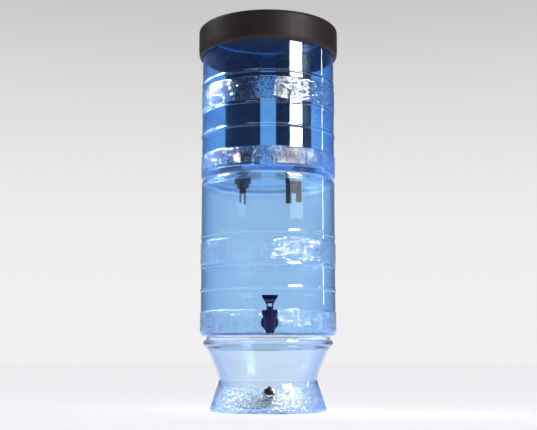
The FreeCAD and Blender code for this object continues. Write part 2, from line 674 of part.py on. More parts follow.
battery_cells = doc.addObject("Part::Feature", "battery_cells")
battery_cells.Label = "battery_cells"
battery_cells.Shape = Part.makeCompound(cells)

BOARD_TOP = "cover_thick + case_height - board_drop"
board = turned("light_board", [
    ("0", "0 - board_thick"),
    ("case_radius - case_wall - board_clear", "0 - board_thick"),
    ("case_radius - case_wall - board_clear", "0"),
    ("0", "0"),
])
place(board, z=BOARD_TOP)
lamps = []
for i in range(int(value("lamps"))):
    turn = FreeCAD.Rotation(Vector(0, 0, 1), 360 * i / value("lamps") + 90)
    foot = turn.multVec(Vector(value("lamp_circle"), 0, 0)) + Vector(0, 0, value(BOARD_TOP))
    stem = Part.makeCylinder(value("lamp_radius"), value("lamp_height"), foot)
    dome = Part.makeCone(value("lamp_radius"), value("lamp_radius") * 0.55, value("lamp_radius") * 0.8,
                         foot + Vector(0, 0, value("lamp_height")))
    lamps.append(stem.fuse(dome))
lamp_group = doc.addObject("Part::Feature", "lamps_group")
lamp_group.Label = "led_lamps"
lamp_group.Shape = Part.makeCompound(lamps)

lens = turned("light_lens", [
    ("case_radius", "0"),
    ("case_radius", "lens_flange"),
    ("lens_dome_radius + 4", "lens_flange"),
    ("lens_dome_radius - 2", "lens_height"),
    ("0", "lens_height"),
    ("0", "lens_height - lens_flange"),
    ("lens_dome_radius - 3", "lens_height - lens_flange"),
    ("lens_dome_radius", "0"),
])
place(lens, z="cover_thick + case_height")

# The push switch on the lower flare
switch_body = turned("switch_body", [
    ("0", "0 - switch_depth"),
    ("switch_radius", "0 - switch_depth"),
    ("switch_radius", "bezel_thick - 0.6"),
    ("button_radius + button_clear", "bezel_thick - 0.6"),
    ("button_radius + button_clear", "0 - button_shaft - button_travel - 0.3"),
    ("0", "0 - button_shaft - button_travel - 0.3"),
])
along_switch(switch_body)
bezel = turned("switch_bezel", [
    ("switch_radius + 0.1", "0"),
    ("bezel_radius", "0"),
    ("bezel_radius", "bezel_thick - 1.4"),
    ("bezel_radius - 0.4", "bezel_thick - 0.4"),
    ("bezel_radius - 1.4", "bezel_thick"),
    ("switch_radius + 0.1", "bezel_thick"),
])
along_switch(bezel)
dome_edge = ("button_dome", "bezel_thick + button_rise + 0.8")
button = turned("push_button", [
    ("0", "0 - button_shaft"),
    ("button_radius", "0 - button_shaft"),
    ("button_radius", "bezel_thick + button_rise"),
    ("button_dome", "bezel_thick + button_rise"),
    dome_edge,
    *quarter(dome_edge, ("0", "bezel_thick + button_head"), 4, "upwards"),
])
along_switch(button)


def hex_nut(label, corner, thick, bore, bottom):
    """A hexagon nut about Z whose lower face lies at the bottom."""
    body = new_body(label)
    sketch = new_sketch(body, "XY_Plane", bottom)
    half, side = f"{corner} / 2", f"{corner} * sqrt(3) / 2"
    draw_outline(sketch, [
        (corner, "0"), (half, side), (f"0 - {half}", side),
        (f"0 - {corner}", "0"), (f"0 - {half}", f"0 - {side}"), (half, f"0 - {side}"),
    ])
    draw_circle(sketch, "0", "0", bore)
    grow(body, sketch, thick)
    return body


switch_nut = hex_nut("switch_nut", "switch_nut_radius", "switch_nut_thick",
                     "switch_radius + nut_clear", "0 - switch_pad_thick - switch_nut_thick")
along_switch(switch_nut)


def smooth_tube(points, radius):
    """A tube along straight runs joined by tangent arcs, each as large as its two runs allow."""
    edges = []
    at = points[0]
    bends = []
    for before, corner, after in zip(points, points[1:], points[2:]):
        back, ahead = (before - corner), (after - corner)
        turn = math.pi - back.getAngle(ahead)
        reach = 0.45 * min(back.Length, ahead.Length)
        bends.append(reach / math.tan(turn / 2))
        start = corner + back.normalize() * reach
        end = corner + ahead.normalize() * reach
        middle_way = (back + ahead).normalize()
        centre = corner + middle_way * math.hypot(bends[-1], reach)
        edges.append(Part.LineSegment(at, start).toShape())
        edges.append(Part.Arc(start, centre - middle_way * bends[-1], end).toShape())
        at = end
    edges.append(Part.LineSegment(at, points[-1]).toShape())
    path = Part.Wire(edges)
    sides = 10
    turn = FreeCAD.Rotation(Vector(0, 0, 1), points[1] - points[0])
    corners = [points[0] + turn.multVec(Vector(radius * math.cos(a), radius * math.sin(a), 0))
               for a in (2 * math.pi * i / sides for i in range(sides))]
    ring = Part.makePolygon(corners + corners[:1])
    tube = path.makePipeShell([ring], True, False)
    section = sides / 2 * radius**2 * math.sin(2 * math.pi / sides)
    print("lead bends, mm:", [round(bend, 1) for bend in bends])
    print("lead volume over section times length:", round(tube.Volume / (section * path.Length), 4))
    return tube


# The switch's lead is held at both ends: from the barrel's end round to the side of the light's case
lead_start = seat_point - switch_axis * value("switch_depth")
case_side = Vector(-1, -1, 0).normalize() * value("case_radius") + Vector(0, 0, value("lead_height"))
lead_points = [
    lead_start,
    lead_start - switch_axis * 9,
    lead_start + Vector(-4, 16, -7),
    lead_start + Vector(-12.5, 17.5, -11.5),
    lead_start + Vector(-21.5, 11.5, -15.5),
    lead_start + Vector(-31, 4, -19),
    case_side + Vector(-13.5, -33.5, 0),
    case_side + Vector(-22.5, -26, 0),
    case_side + Vector(-20.5, -14.5, 0),
    case_side + Vector(-9.2, -9.2, 0),
    case_side,
]
lead = doc.addObject("Part::Feature", "switch_lead")
lead.Label = "switch_lead"
lead.Shape = smooth_tube(lead_points, value("lead_radius"))

# The filter elements stand on the upper chamber's floor, one left and one right
FLOOR_Z = "stand_height + chamber_pitch + floor_lift"
FLOOR_TOP = f"{FLOOR_Z} + floor_thick"


def at_hole(piece, side, z, turn="0 - stack_turn"):
    """Puts a piece over the left (-1) or right (1) hole of the turned upper chamber."""
    out = f"{side} * hole_spacing / 2"
    place(piece, f"{out} * cos(stack_turn)", f"0 - {out} * sin(stack_turn)", z, angle=turn)


for name, side, nut_turn in (("left", -1, "0"), ("right", 1, "68")):
    gasket = turned(f"{name}_sealing_washer", [
        ("stem_radius + nut_clear", "0"),
        ("gasket_radius", "0"),
        ("gasket_radius", "gasket_thick"),
        ("stem_radius + nut_clear", "gasket_thick"),
    ])
    at_hole(gasket, side, FLOOR_TOP)

    base = turned(f"{name}_element_base", [
        ("stem_bore", "0 - gasket_thick - floor_thick - stem_drop"),
        ("stem_radius", "0 - gasket_thick - floor_thick - stem_drop"),
        ("stem_radius", "0"),
        ("base_cup_radius - 1.5", "0"),
        ("base_cup_radius", "1.5"),
        ("base_cup_radius", "base_cup_height"),
        ("element_radius + cup_clear", "base_cup_height"),
        ("element_radius + cup_clear", "base_cup_floor"),
        ("stem_bore", "base_cup_floor"),
    ])
    at_hole(base, side, f"{FLOOR_TOP} + gasket_thick")

    block_low = f"{FLOOR_TOP} + gasket_thick + base_cup_floor"
    block = turned(f"{name}_filter_element", [
        ("element_bore", "0"),
        ("element_radius", "0"),
        ("element_radius", "element_length"),
        ("element_bore", "element_length"),
    ])
    at_hole(block, side, block_low)

    cap = turned(f"{name}_element_cap", [
        ("element_radius + cup_clear", "cap_top - cap_height"),
        ("base_cup_radius", "cap_top - cap_height"),
        ("base_cup_radius", "cap_top - 2"),
        ("base_cup_radius - 2", "cap_top"),
        ("0", "cap_top"),
        ("0", "0"),
        ("element_radius + cup_clear", "0"),
    ])
    at_hole(cap, side, f"{block_low} + element_length")

    nut = turned(f"{name}_wing_nut", [
        ("stem_radius + nut_clear", "0 - nut_flange_thick - nut_hub_drop"),
        ("nut_hub_radius", "0 - nut_flange_thick - nut_hub_drop"),
        ("nut_hub_radius", "0 - nut_flange_thick"),
        ("nut_flange_radius", "0 - nut_flange_thick"),
        ("nut_flange_radius", "0"),
        ("stem_radius + nut_clear", "0"),
    ])
    wing_sketch = new_sketch(nut, "XY_Plane", "0 - nut_flange_thick - nut_hub_drop - wing_drop")
    wing_near = "sqrt((stem_radius + nut_clear + 0.3)^2 - (wing_offset - wing_thick / 2)^2)"
    draw_outline(wing_sketch, [
        ("wing_offset - wing_thick / 2", wing_near),
        ("wing_offset + wing_thick / 2", wing_near),
        ("wing_offset + wing_thick / 2", f"{wing_near} + wing_width"),
        ("wing_offset - wing_thick / 2", f"{wing_near} + wing_width"),
    ])
    wing = grow(nut, wing_sketch, "wing_drop + nut_hub_drop + 2")
    around(wing, nut, "2")
    at_hole(nut, side, FLOOR_Z, nut_turn)

# The tap: its shank goes through the lower chamber's pad, its flange and two washers seal it
TAP_Z = "stand_height + pad_height"
PAD_FRONT = f"({PAD_FACE} - pad_recess)"
FLANGE_BACK = f"{PAD_FRONT} + tap_gasket_thick"
SPOUT_Y = f"0 - ({FLANGE_BACK} + tap_reach)"


def on_shank(piece, out):
    """Puts a piece that is built about Z on the tap's shank axis, its zero that far from the stack's axis."""
    place(piece, "0", f"0 - ({out})", TAP_Z, Vector(1, 0, 0), "90")


for label, out in (("tap_outer_washer", PAD_FRONT), ("tap_inner_washer", f"{PAD_BACK} - tap_gasket_thick")):
    washer = turned(label, [
        ("shank_radius + nut_clear", "0"),
        ("tap_gasket_radius", "0"),
        ("tap_gasket_radius", "tap_gasket_thick"),
        ("shank_radius + nut_clear", "tap_gasket_thick"),
    ])
    on_shank(washer, out)
shank_nut = hex_nut("tap_shank_nut", "shank_nut_radius", "shank_nut_thick",
                    "shank_radius + nut_clear", "0 - shank_nut_thick")
on_shank(shank_nut, f"{PAD_BACK} - tap_gasket_thick")

# The tap's body is two turned forms that cross: an upright barrel and a shank with its flange
barrel = turned("tap_barrel", [
    ("0", "0 - spout_drop"),
    ("spout_radius", "0 - spout_drop"),
    ("tap_seat_radius", "0 - tap_seat_drop"),
    ("tap_body_radius", "tap_body_rise - bonnet_drop"),
    ("tap_body_radius", "tap_body_rise"),
    ("0", "tap_body_rise"),
])
place(barrel, y=SPOUT_Y, z=TAP_Z)
shank = turned("tap_shank", [
    ("0", "0 - shank_length"),
    ("shank_radius", "0 - shank_length"),
    ("shank_radius", "0"),
    ("tap_flange_radius", "0"),
    ("tap_flange_radius", "tap_flange_thick - 1"),
    ("tap_flange_radius - 1", "tap_flange_thick"),
    ("tap_neck_radius", "tap_flange_thick"),
    ("tap_neck_radius", "tap_reach"),
    ("0", "tap_reach"),
])
on_shank(shank, FLANGE_BACK)
cavity = turned("tap_cavity", [
    ("0", "0 - spout_drop - 1"),
    ("spout_bore", "0 - spout_drop - 1"),
    ("spout_bore", "0 - tap_seat_drop"),
    ("tap_cavity_radius", "0 - tap_seat_drop"),
    ("tap_cavity_radius", "tap_body_rise + 1"),
    ("0", "tap_body_rise + 1"),
])
place(cavity, y=SPOUT_Y, z=TAP_Z)
bore = turned("tap_inlet", [
    ("0", "0 - shank_length - 1"),
    ("shank_bore", "0 - shank_length - 1"),
    ("shank_bore", "tap_reach"),
    ("0", "tap_reach"),
])
on_shank(bore, FLANGE_BACK)
tap_outside = doc.addObject("Part::MultiFuse", "tap_outside")
tap_outside.Shapes = [barrel, shank]
tap_inside = doc.addObject("Part::MultiFuse", "tap_inside")
tap_inside.Shapes = [cavity, bore]
tap_body = doc.addObject("Part::Cut", "tap_body")
tap_body.Label = "tap_body"
tap_body.Base = tap_outside
tap_body.Tool = tap_inside

BODY_TOP = f"{TAP_Z} + tap_body_rise"
BONNET_TOP = f"{BODY_TOP} + bonnet_seal + bonnet_thick"
seal = turned("bonnet_seal", [
    ("plunger_radius + 0.3", "0"),
    ("tap_body_radius", "0"),
    ("tap_body_radius", "bonnet_seal"),
    ("plunger_radius + 0.3", "bonnet_seal"),
])
place(seal, y=SPOUT_Y, z=BODY_TOP)
bonnet_inside = "tap_body_radius + bonnet_clear"
bonnet_outside = f"{bonnet_inside} + bonnet_wall"
bonnet = turned("tap_bonnet", [
    (bonnet_inside, "0 - bonnet_drop"),
    (f"{bonnet_outside} - 0.8", "0 - bonnet_drop"),
    (f"{bonnet_outside} - 0.8", "bonnet_seal + bonnet_thick - 1"),
    (f"{bonnet_outside} - 1.8", "bonnet_seal + bonnet_thick"),
    ("plunger_radius + plunger_clear", "bonnet_seal + bonnet_thick"),
    ("plunger_radius + plunger_clear", "bonnet_seal"),
    (bonnet_inside, "bonnet_seal"),
])
lug_sketch = new_sketch(bonnet, "XY_Plane", "bonnet_seal - 1")
draw_outline(lug_sketch, [
    (f"{bonnet_inside} + 0.3", "0 - bonnet_lug_width / 2"),
    ("bonnet_lug_radius - 1", "0 - bonnet_lug_width / 2"),
    ("bonnet_lug_radius - 1", "bonnet_lug_width / 2", "bonnet_lug_radius", 1),
    (f"{bonnet_inside} + 0.3", "bonnet_lug_width / 2"),
])
lug = grow(bonnet, lug_sketch, "bonnet_thick + 1")
around(lug, bonnet, "bonnet_lugs")
place(bonnet, y=SPOUT_Y, z=BODY_TOP, angle="0 - 90 - bonnet_turn")

# The plunger carries the rubber seat cup below and the lever's pin above
PIN_RISE = "cam_gap + cam_radius - plunger_lift / 2"
PIN_Z = f"{BONNET_TOP} + {PIN_RISE}"
CUP_LOW = f"{TAP_Z} - tap_seat_drop + seat_gap"
stem_length = f"({BONNET_TOP} + 2 * cam_gap) - ({CUP_LOW} + 2)"
plunger_turned = turned("plunger_turned", [
    ("0", "0"),
    ("plunger_radius", "0"),
    ("plunger_radius", stem_length),
    ("0", stem_length),
])
place(plunger_turned, y=SPOUT_Y, z=f"{CUP_LOW} + 2")
tongue_box = doc.addObject("Part::Box", "tongue_box")
tongue_box.setExpression("Length", bound("tongue_width"))
tongue_box.setExpression("Width", bound("tongue_depth"))
tongue_box.setExpression("Height", bound(f"{PIN_RISE} + tongue_top - cam_gap"))
place(tongue_box, "0 - tongue_width / 2", f"{SPOUT_Y} - tongue_depth / 2", f"{BONNET_TOP} + cam_gap")
plunger_blank = doc.addObject("Part::MultiFuse", "plunger_blank")
plunger_blank.Shapes = [plunger_turned, tongue_box]


def cross_hole(name, radius, half_length):
    """A cylinder along X through the lever's pin centre."""
    hole = doc.addObject("Part::Cylinder", name)
    hole.setExpression("Radius", bound(radius))
    hole.setExpression("Height", bound(f"2 * ({half_length})"))
    place(hole, f"0 - ({half_length})", SPOUT_Y, PIN_Z, Vector(0, 1, 0), "90")
    return hole


plunger = doc.addObject("Part::Cut", "tap_plunger")
plunger.Label = "tap_plunger"
plunger.Base = plunger_blank
plunger.Tool = cross_hole("tongue_hole", "pin_radius + pin_clear", "tongue_width")
pin = cross_hole("lever_pin", "pin_radius", "lever_width / 2 - 0.4")
pin.Label = "lever_pin"

seat_cup = turned("tap_seat_cup", [
    ("0", "0"),
    ("seat_cup_radius", "0"),
    ("seat_cup_radius", "2.5"),
    ("plunger_radius + 1.6", "seat_cup_height"),
    ("plunger_radius + 0.02", "seat_cup_height"),
    ("plunger_radius + 0.02", "2"),
    ("0", "2"),
])
place(seat_cup, y=SPOUT_Y, z=CUP_LOW)

# The lever is a fork over the tongue. Its cam stands off the pin, forwards and up,
# so that pulling the paddle forwards lifts the plunger off the seat
CAM_Y = f"{SPOUT_Y} - plunger_lift * cos(30)"
CAM_Z = f"{PIN_Z} + plunger_lift * sin(30)"
cam = doc.addObject("Part::Cylinder", "lever_cam")
cam.setExpression("Radius", bound("cam_radius"))
cam.setExpression("Height", bound("lever_width"))
place(cam, "0 - lever_width / 2", CAM_Y, CAM_Z, Vector(0, 1, 0), "90")
hub = doc.addObject("Part::Cylinder", "lever_hub")
hub.setExpression("Radius", bound("pin_radius + 1.7"))
hub.setExpression("Height", bound("lever_width"))
place(hub, "0 - lever_width / 2", SPOUT_Y, PIN_Z, Vector(0, 1, 0), "90")

paddle = new_body("lever_paddle")
paddle_sketch = new_sketch(paddle, "XZ_Plane", "0 - lever_depth / 2")
draw_outline(paddle_sketch, [
    ("0 - lever_width / 2", "0"),
    ("lever_width / 2", "0"),
    ("lever_width / 2", "window_top - 2"),
    ("lever_neck_width / 2", "window_top"),
    ("lever_top_width / 2 - 1.5", "lever_rise - lever_bar - 1"),
    ("lever_top_width / 2", "lever_rise - lever_bar / 2"),
    ("lever_top_width / 2 - 1", "lever_rise", "lever_bar / 2", 1),
    ("1 - lever_top_width / 2", "lever_rise"),
    ("0 - lever_top_width / 2", "lever_rise - lever_bar / 2", "lever_bar / 2", 1),
    ("1.5 - lever_top_width / 2", "lever_rise - lever_bar - 1"),
    ("0 - lever_neck_width / 2", "window_top"),
    ("0 - lever_width / 2", "window_top - 2"),
])
grow(paddle, paddle_sketch, "lever_depth")
doc.recompute()
hollow_sketch = new_sketch(paddle, "YZ_Plane", "0")
draw_outline(hollow_sketch, [
    ("0 - lever_depth / 2 - 1", "window_top + 3"),
    ("0 - lever_depth / 2", "window_top + 3"),
    ("lever_depth / 2 - lever_web", "window_top + 6"),
    ("lever_depth / 2 - lever_web", "lever_rise - lever_bar - 2"),
    ("0 - lever_depth / 2", "lever_rise - lever_bar"),
    ("0 - lever_depth / 2 - 1", "lever_rise - lever_bar"),
])
hollow = paddle.newObject("PartDesign::Pocket", "paddle_hollow")
hollow.Profile = hollow_sketch
hollow.Type = "Length"
hollow.Midplane = True
hollow.setExpression("Length", bound("lever_top_width + 2"))
place(paddle, y=SPOUT_Y, z=PIN_Z)

lever_blank = doc.addObject("Part::MultiFuse", "lever_blank")
lever_blank.Shapes = [cam, hub, paddle]
slot = doc.addObject("Part::Box", "lever_slot")
slot.setExpression("Length", bound("2 * (plunger_radius + lever_gap)"))
slot.setExpression("Width", bound("6 * cam_radius"))
slot.setExpression("Height", bound("window_top + 2 * cam_radius"))
place(slot, "0 - plunger_radius - lever_gap", f"{SPOUT_Y} - 3 * cam_radius", f"{PIN_Z} - 2 * cam_radius")
lever_cutter = doc.addObject("Part::MultiFuse", "lever_cutter")
lever_cutter.Shapes = [slot, cross_hole("cheek_holes", "pin_radius + pin_clear", "lever_width")]
lever = doc.addObject("Part::Cut", "tap_lever")
lever.Label = "tap_lever"
lever.Base = lever_blank
lever.Tool = lever_cutter

NODES = [
    "stand_shell", "bottom_cover", "cover_screws", "light_case", "light_case_screws", "battery_tray",
    "battery_cells", "light_board", "led_lamps", "light_lens", "switch_body", "switch_bezel", "switch_nut",
    "switch_lead", "push_button", "lower_chamber", "tap_body", "tap_outer_washer", "tap_inner_washer",
    "tap_shank_nut", "bonnet_seal", "tap_bonnet", "tap_plunger", "tap_seat_cup", "lever_pin", "tap_lever",
    "upper_chamber", "lid",
]
for name in ("left", "right"):
    for piece in ("filter_element", "element_cap", "element_base", "sealing_washer", "wing_nut"):
        NODES.append(f"{name}_{piece}")

doc.recompute()
for item in doc.Objects:
    if "Invalid" in item.State or "Error" in item.State:
        raise ValueError(f"{item.Label} did not compute: {item.State}")
labels = {item.Label: item for item in doc.Objects}
os.makedirs("parts", exist_ok=True)
for name in NODES:
    shape = labels[name].Shape
    if shape.isNull() or not shape.isValid():
        raise ValueError(f"{name} has no valid shape")
for name in NODES:
    labels[name].Shape.exportStep(f"parts/{name}.step")
print(len(NODES), "pieces written")
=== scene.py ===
# %% [markdown]
# A clear-blue gravity water filter: two nested vessels, a lid, a flip tap and an hourglass stand with a
# light. The exact solids come from the imported frame, so this file is about what CAD leaves open: light,
# finish, fine relief. The frame is loaded first.

# %% Load the frame
import json
import math

import bpy
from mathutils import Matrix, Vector


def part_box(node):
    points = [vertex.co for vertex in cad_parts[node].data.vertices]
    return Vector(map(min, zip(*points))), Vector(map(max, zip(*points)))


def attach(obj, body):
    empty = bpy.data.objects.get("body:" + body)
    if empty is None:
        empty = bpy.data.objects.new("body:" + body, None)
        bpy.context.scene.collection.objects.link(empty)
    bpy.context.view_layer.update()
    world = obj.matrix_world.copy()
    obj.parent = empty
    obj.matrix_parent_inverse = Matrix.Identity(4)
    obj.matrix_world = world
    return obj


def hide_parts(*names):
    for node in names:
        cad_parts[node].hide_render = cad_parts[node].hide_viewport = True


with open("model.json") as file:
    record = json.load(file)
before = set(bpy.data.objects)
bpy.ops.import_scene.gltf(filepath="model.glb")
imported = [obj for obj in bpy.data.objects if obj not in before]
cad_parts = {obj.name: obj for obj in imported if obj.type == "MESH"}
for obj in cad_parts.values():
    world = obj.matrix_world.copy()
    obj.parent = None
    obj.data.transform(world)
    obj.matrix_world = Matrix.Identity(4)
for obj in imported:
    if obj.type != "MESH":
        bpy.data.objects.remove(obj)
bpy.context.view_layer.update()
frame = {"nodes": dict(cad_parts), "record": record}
MM = 0.001


def add_object(name, data):
    """A new object in the scene."""
    item = bpy.data.objects.new(name, data)
    bpy.context.scene.collection.objects.link(item)
    return item


# %% [markdown]
# The camera stands where the photographer's did: low, close to the table's height, and tilted up a little.
# Its lens and place were worked out from the ribs, which are circles and so look like flatter or rounder
# ellipses.

# %% Camera
IMAGE_WIDTH = 537
FOCAL_PIXELS = 983.4
camera_distance = 1719.4 * MM
camera_height = 91.9 * MM
camera_pitch = math.radians(8.237)
camera_heading = math.radians(1.2)
side_step = 0.7 * MM

camera_data = bpy.data.cameras.new("photo_camera")
camera_data.sensor_width = 36.0
camera_data.lens = FOCAL_PIXELS * camera_data.sensor_width / IMAGE_WIDTH
camera_data.clip_end = 100.0
camera = add_object("photo_camera", camera_data)
forward = Vector((math.sin(camera_heading), math.cos(camera_heading), 0.0))
sideways = Vector((math.cos(camera_heading), -math.sin(camera_heading), 0.0))
camera.location = sideways * side_step - forward * camera_distance + Vector((0.0, 0.0, camera_height))
camera.rotation_euler = (math.pi / 2 + camera_pitch, 0.0, -camera_heading)
bpy.context.scene.camera = camera
print("lens", round(camera_data.lens, 2), "mm")

# %% [markdown]
# Clear plastic shows what surrounds it, so the stage comes before the finish. The backdrop is a pale grey
# that gets lighter towards the table. The camera sees it, and so does a ray that passes through plastic. A
# mirror image shows a darker studio instead, and everything else is lit by an even grey, so that the
# backdrop's tone and the light on the object are set apart.

# %% Helpers for nodes
def principled(material):
    return material.node_tree.nodes["Principled BSDF"]


def new_material(name):
    """A material, its tree and its shader."""
    material = bpy.data.materials.new(name)
    material.use_nodes = True
    return material, material.node_tree, principled(material)


def add_node(tree, kind, **settings):
    """Adds a node and sets its properties and, by name, its inputs."""
    node = tree.nodes.new(kind)
    for name, setting in settings.items():
        if name in node.bl_rna.properties:
            setattr(node, name, setting)
        else:
            node.inputs[name.replace("_", " ")].default_value = setting
    return node


def maths(tree, operation, *values):
    """A Math node. Each value is a number or a socket."""
    node = tree.nodes.new("ShaderNodeMath")
    node.operation = operation
    for place, item in enumerate(values):
        if isinstance(item, (int, float)):
            node.inputs[place].default_value = item
        else:
            tree.links.new(item, node.inputs[place])
    return node.outputs[0]


def ramp_stops(ramp, stops):
    """Gives a colour ramp these (place, colour) stops."""
    while len(ramp.elements) > 1:
        ramp.elements.remove(ramp.elements[-1])
    ramp.elements[0].position, ramp.elements[0].color = stops[0][0], (*stops[0][1], 1.0)
    for place, colour in stops[1:]:
        ramp.elements.new(place).color = (*colour, 1.0)


# %% World
ROOM_LIGHT = 0.42
BACKDROP_STOPS = [
    (0.0, (0.88, 0.88, 0.89)), (0.108, (0.86, 0.86, 0.86)), (0.158, (0.83, 0.83, 0.83)),
    (0.257, (0.72, 0.72, 0.72)), (0.347, (0.58, 0.58, 0.57)), (1.0, (0.42, 0.42, 0.42)),
]
MIRRORED_STOPS = [(0.30, (0.07, 0.07, 0.08)), (0.90, (0.11, 0.12, 0.14)), (0.975, (0.22, 0.22, 0.24)),
                  (1.0, (0.80, 0.80, 0.80))]

world = bpy.data.worlds.new("studio")
bpy.context.scene.world = world
world.use_nodes = True
sky = world.node_tree
sky.nodes.clear()
direction = add_node(sky, "ShaderNodeTexCoord")
split = add_node(sky, "ShaderNodeSeparateXYZ")
sky.links.new(direction.outputs["Generated"], split.inputs[0])


def ramp_background(height, stops):
    """A background whose grey follows one part of the direction."""
    ramp = add_node(sky, "ShaderNodeValToRGB")
    ramp_stops(ramp.color_ramp, stops)
    sky.links.new(height, ramp.inputs[0])
    background = add_node(sky, "ShaderNodeBackground")
    sky.links.new(ramp.outputs["Color"], background.inputs["Color"])
    return background


def world_mix(factor, first, second):
    mix = add_node(sky, "ShaderNodeMixShader")
    sky.links.new(factor, mix.inputs[0])
    sky.links.new(first.outputs[0], mix.inputs[1])
    sky.links.new(second.outputs[0], mix.inputs[2])
    return mix


backwards = maths(sky, "MULTIPLY_ADD", split.outputs["Y"], 0.5, 0.5)
shown_world = ramp_background(split.outputs["Z"], BACKDROP_STOPS)
mirrored_world = ramp_background(backwards, MIRRORED_STOPS)
lit_world = add_node(sky, "ShaderNodeBackground", Color=(1.0, 1.0, 1.0, 1.0), Strength=ROOM_LIGHT)
rays = add_node(sky, "ShaderNodeLightPath").outputs
seen = maths(sky, "MAXIMUM", rays["Is Camera Ray"], rays["Is Transmission Ray"])
mirrored = maths(sky, "GREATER_THAN", rays["Glossy Depth"], 0.5)
lit_or_seen = world_mix(seen, lit_world, shown_world)
any_world = world_mix(mirrored, lit_or_seen, mirrored_world)
sky.links.new(any_world.outputs[0], add_node(sky, "ShaderNodeOutputWorld").inputs["Surface"])
print("world has", len(sky.nodes), "nodes")

# %% [markdown]
# The table is one large square just under the foot. Most of its white is a glow that the camera, mirror
# images and rays through plastic see, and dull surfaces don't. Its base colour is a dark grey, which takes
# the light and the object's soft shadow.

# %% Table
FLOOR_HALF = 12.0
FLOOR_DROP = 0.3 * MM
TABLE_GLOW = 0.805
floor_mesh = bpy.data.meshes.new("floor")
floor_mesh.from_pydata(
    [(-FLOOR_HALF, -FLOOR_HALF, 0), (FLOOR_HALF, -FLOOR_HALF, 0), (FLOOR_HALF, FLOOR_HALF, 0),
     (-FLOOR_HALF, FLOOR_HALF, 0)], [], [(0, 1, 2, 3)])
floor = add_object("floor", floor_mesh)
floor.location.z = -FLOOR_DROP
floor_finish, table_tree, table_shader = new_material("white_table")
table_shader.inputs["Base Color"].default_value = (0.15, 0.15, 0.15, 1.0)
table_shader.inputs["Roughness"].default_value = 0.6
table_shader.inputs["Specular IOR Level"].default_value = 0.0
table_shader.inputs["Emission Color"].default_value = (0.985, 0.965, 1.0, 1.0)
table_rays = add_node(table_tree, "ShaderNodeLightPath").outputs
looked_at = maths(table_tree, "MAXIMUM", table_rays["Is Camera Ray"], table_rays["Is Transmission Ray"])
looked_or_mirrored = maths(table_tree, "MAXIMUM", looked_at, table_rays["Is Glossy Ray"])
glow = maths(table_tree, "MULTIPLY", looked_or_mirrored, TABLE_GLOW)
table_tree.links.new(glow, table_shader.inputs["Emission Strength"])
floor_mesh.materials.append(floor_finish)
print("table is", 2 * FLOOR_HALF, "m across")

# %% [markdown]
# Two soft boxes light the whole object. The other lamps are cards: bright panels that show only as mirror
# images, as a photographer's panels do in a clear wall. There is a broad one on the right with a weaker
# lower end, a high one on the left that only beads and pebbles catch, a slim one at the right edge and a
# wide one overhead. A panel that bright would bleach the dark lid, so light linking keeps the cards to the
# clear and glossy pieces. Their places follow from where their mirror images sit on the wall.

# %% Lights
CARD_DISTANCE = 1.49
BOX_DISTANCE = 1.5
TOP_CARD_TILT = math.radians(38)
glossy_pieces = bpy.data.collections.new("glossy_pieces")


def soft_box(name, azimuth, distance, low, high, width, radiance, mirrored_only=False):
    """An upright rectangular lamp that looks at the object's axis. Azimuth 0 is the camera's side."""
    data = bpy.data.lights.new(name, "AREA")
    data.shape = "RECTANGLE"
    data.size = width
    data.size_y = high - low
    data.energy = radiance * math.pi * data.size * data.size_y
    lamp = add_object(name, data)
    turn = math.radians(azimuth) - camera_heading
    middle = (low + high) / 2
    lamp.location = (distance * math.sin(turn), -distance * math.cos(turn), middle)
    lamp.rotation_euler = (math.pi / 2, 0.0, turn)
    lamp.visible_camera = False
    if mirrored_only:
        lamp.visible_diffuse = lamp.visible_transmission = lamp.visible_volume_scatter = False
        lamp.light_linking.receiver_collection = glossy_pieces
    return lamp


soft_box("right_soft_box", 47.5, BOX_DISTANCE, 0.70, 1.60, 0.60, 7.0)
soft_box("left_soft_box", -98.0, BOX_DISTANCE, 1.25, 2.10, 0.40, 7.0)
soft_box("right_card", 47.5, CARD_DISTANCE, 0.74, 1.60, 0.55, 75.0, True)
soft_box("right_card_end", 47.5, CARD_DISTANCE, 0.52, 0.74, 0.60, 3.0, True)
soft_box("right_slim_card", 104.0, CARD_DISTANCE, 0.25, 1.30, 0.06, 12.0, True)
soft_box("left_slim_card", -104.0, CARD_DISTANCE, 1.36, 2.20, 0.32, 360.0, True)
top_card = soft_box("top_card", 0.0, 0.9, 1.9, 2.7, 2.2, 3.0, True)
top_card.rotation_euler = (TOP_CARD_TILT, 0.0, -camera_heading)

# %% [markdown]
# Clear tinted plastic looks deeper where one looks along its wall. So its tint follows how far the face is
# turned away: partly the longer path through the wall, partly painted shade for the dark studio the edges
# reflect. A little absorption makes thick rims and floors deeper still. Two bands of each chamber, and the
# flare of the stand, are pebbled. A bump could roughen them, but each real grain is a small facet, so here
# each cell of a pattern leans its own way, and the lamps break up into a glitter.

# %% Where the wall is pebbled
LOW_BAND = (12 * MM, 40.7 * MM)
HIGH_BAND = (122.3 * MM, 160 * MM)
BIG_BEAD_PROUD = 1.5 * MM
SPIGOT_DROP = 10 * MM
PAD_HEIGHT = 20 * MM
PAD_RADIUS = 18 * MM
WALL_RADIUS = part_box("lower_chamber")[1].x - BIG_BEAD_PROUD
WALL = 3 * MM
lower_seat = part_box("lower_chamber")[0].z + SPIGOT_DROP
upper_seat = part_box("upper_chamber")[0].z + SPIGOT_DROP
print("seats at", round(lower_seat, 4), round(upper_seat, 4), "wall radius", round(WALL_RADIUS, 4))


# %% Helpers for groups
def group_socket(group, name, side, kind="NodeSocketFloat", start=0.0):
    socket = group.interface.new_socket(name=name, in_out=side, socket_type=kind)
    if side == "INPUT" and kind == "NodeSocketFloat":
        socket.default_value = start


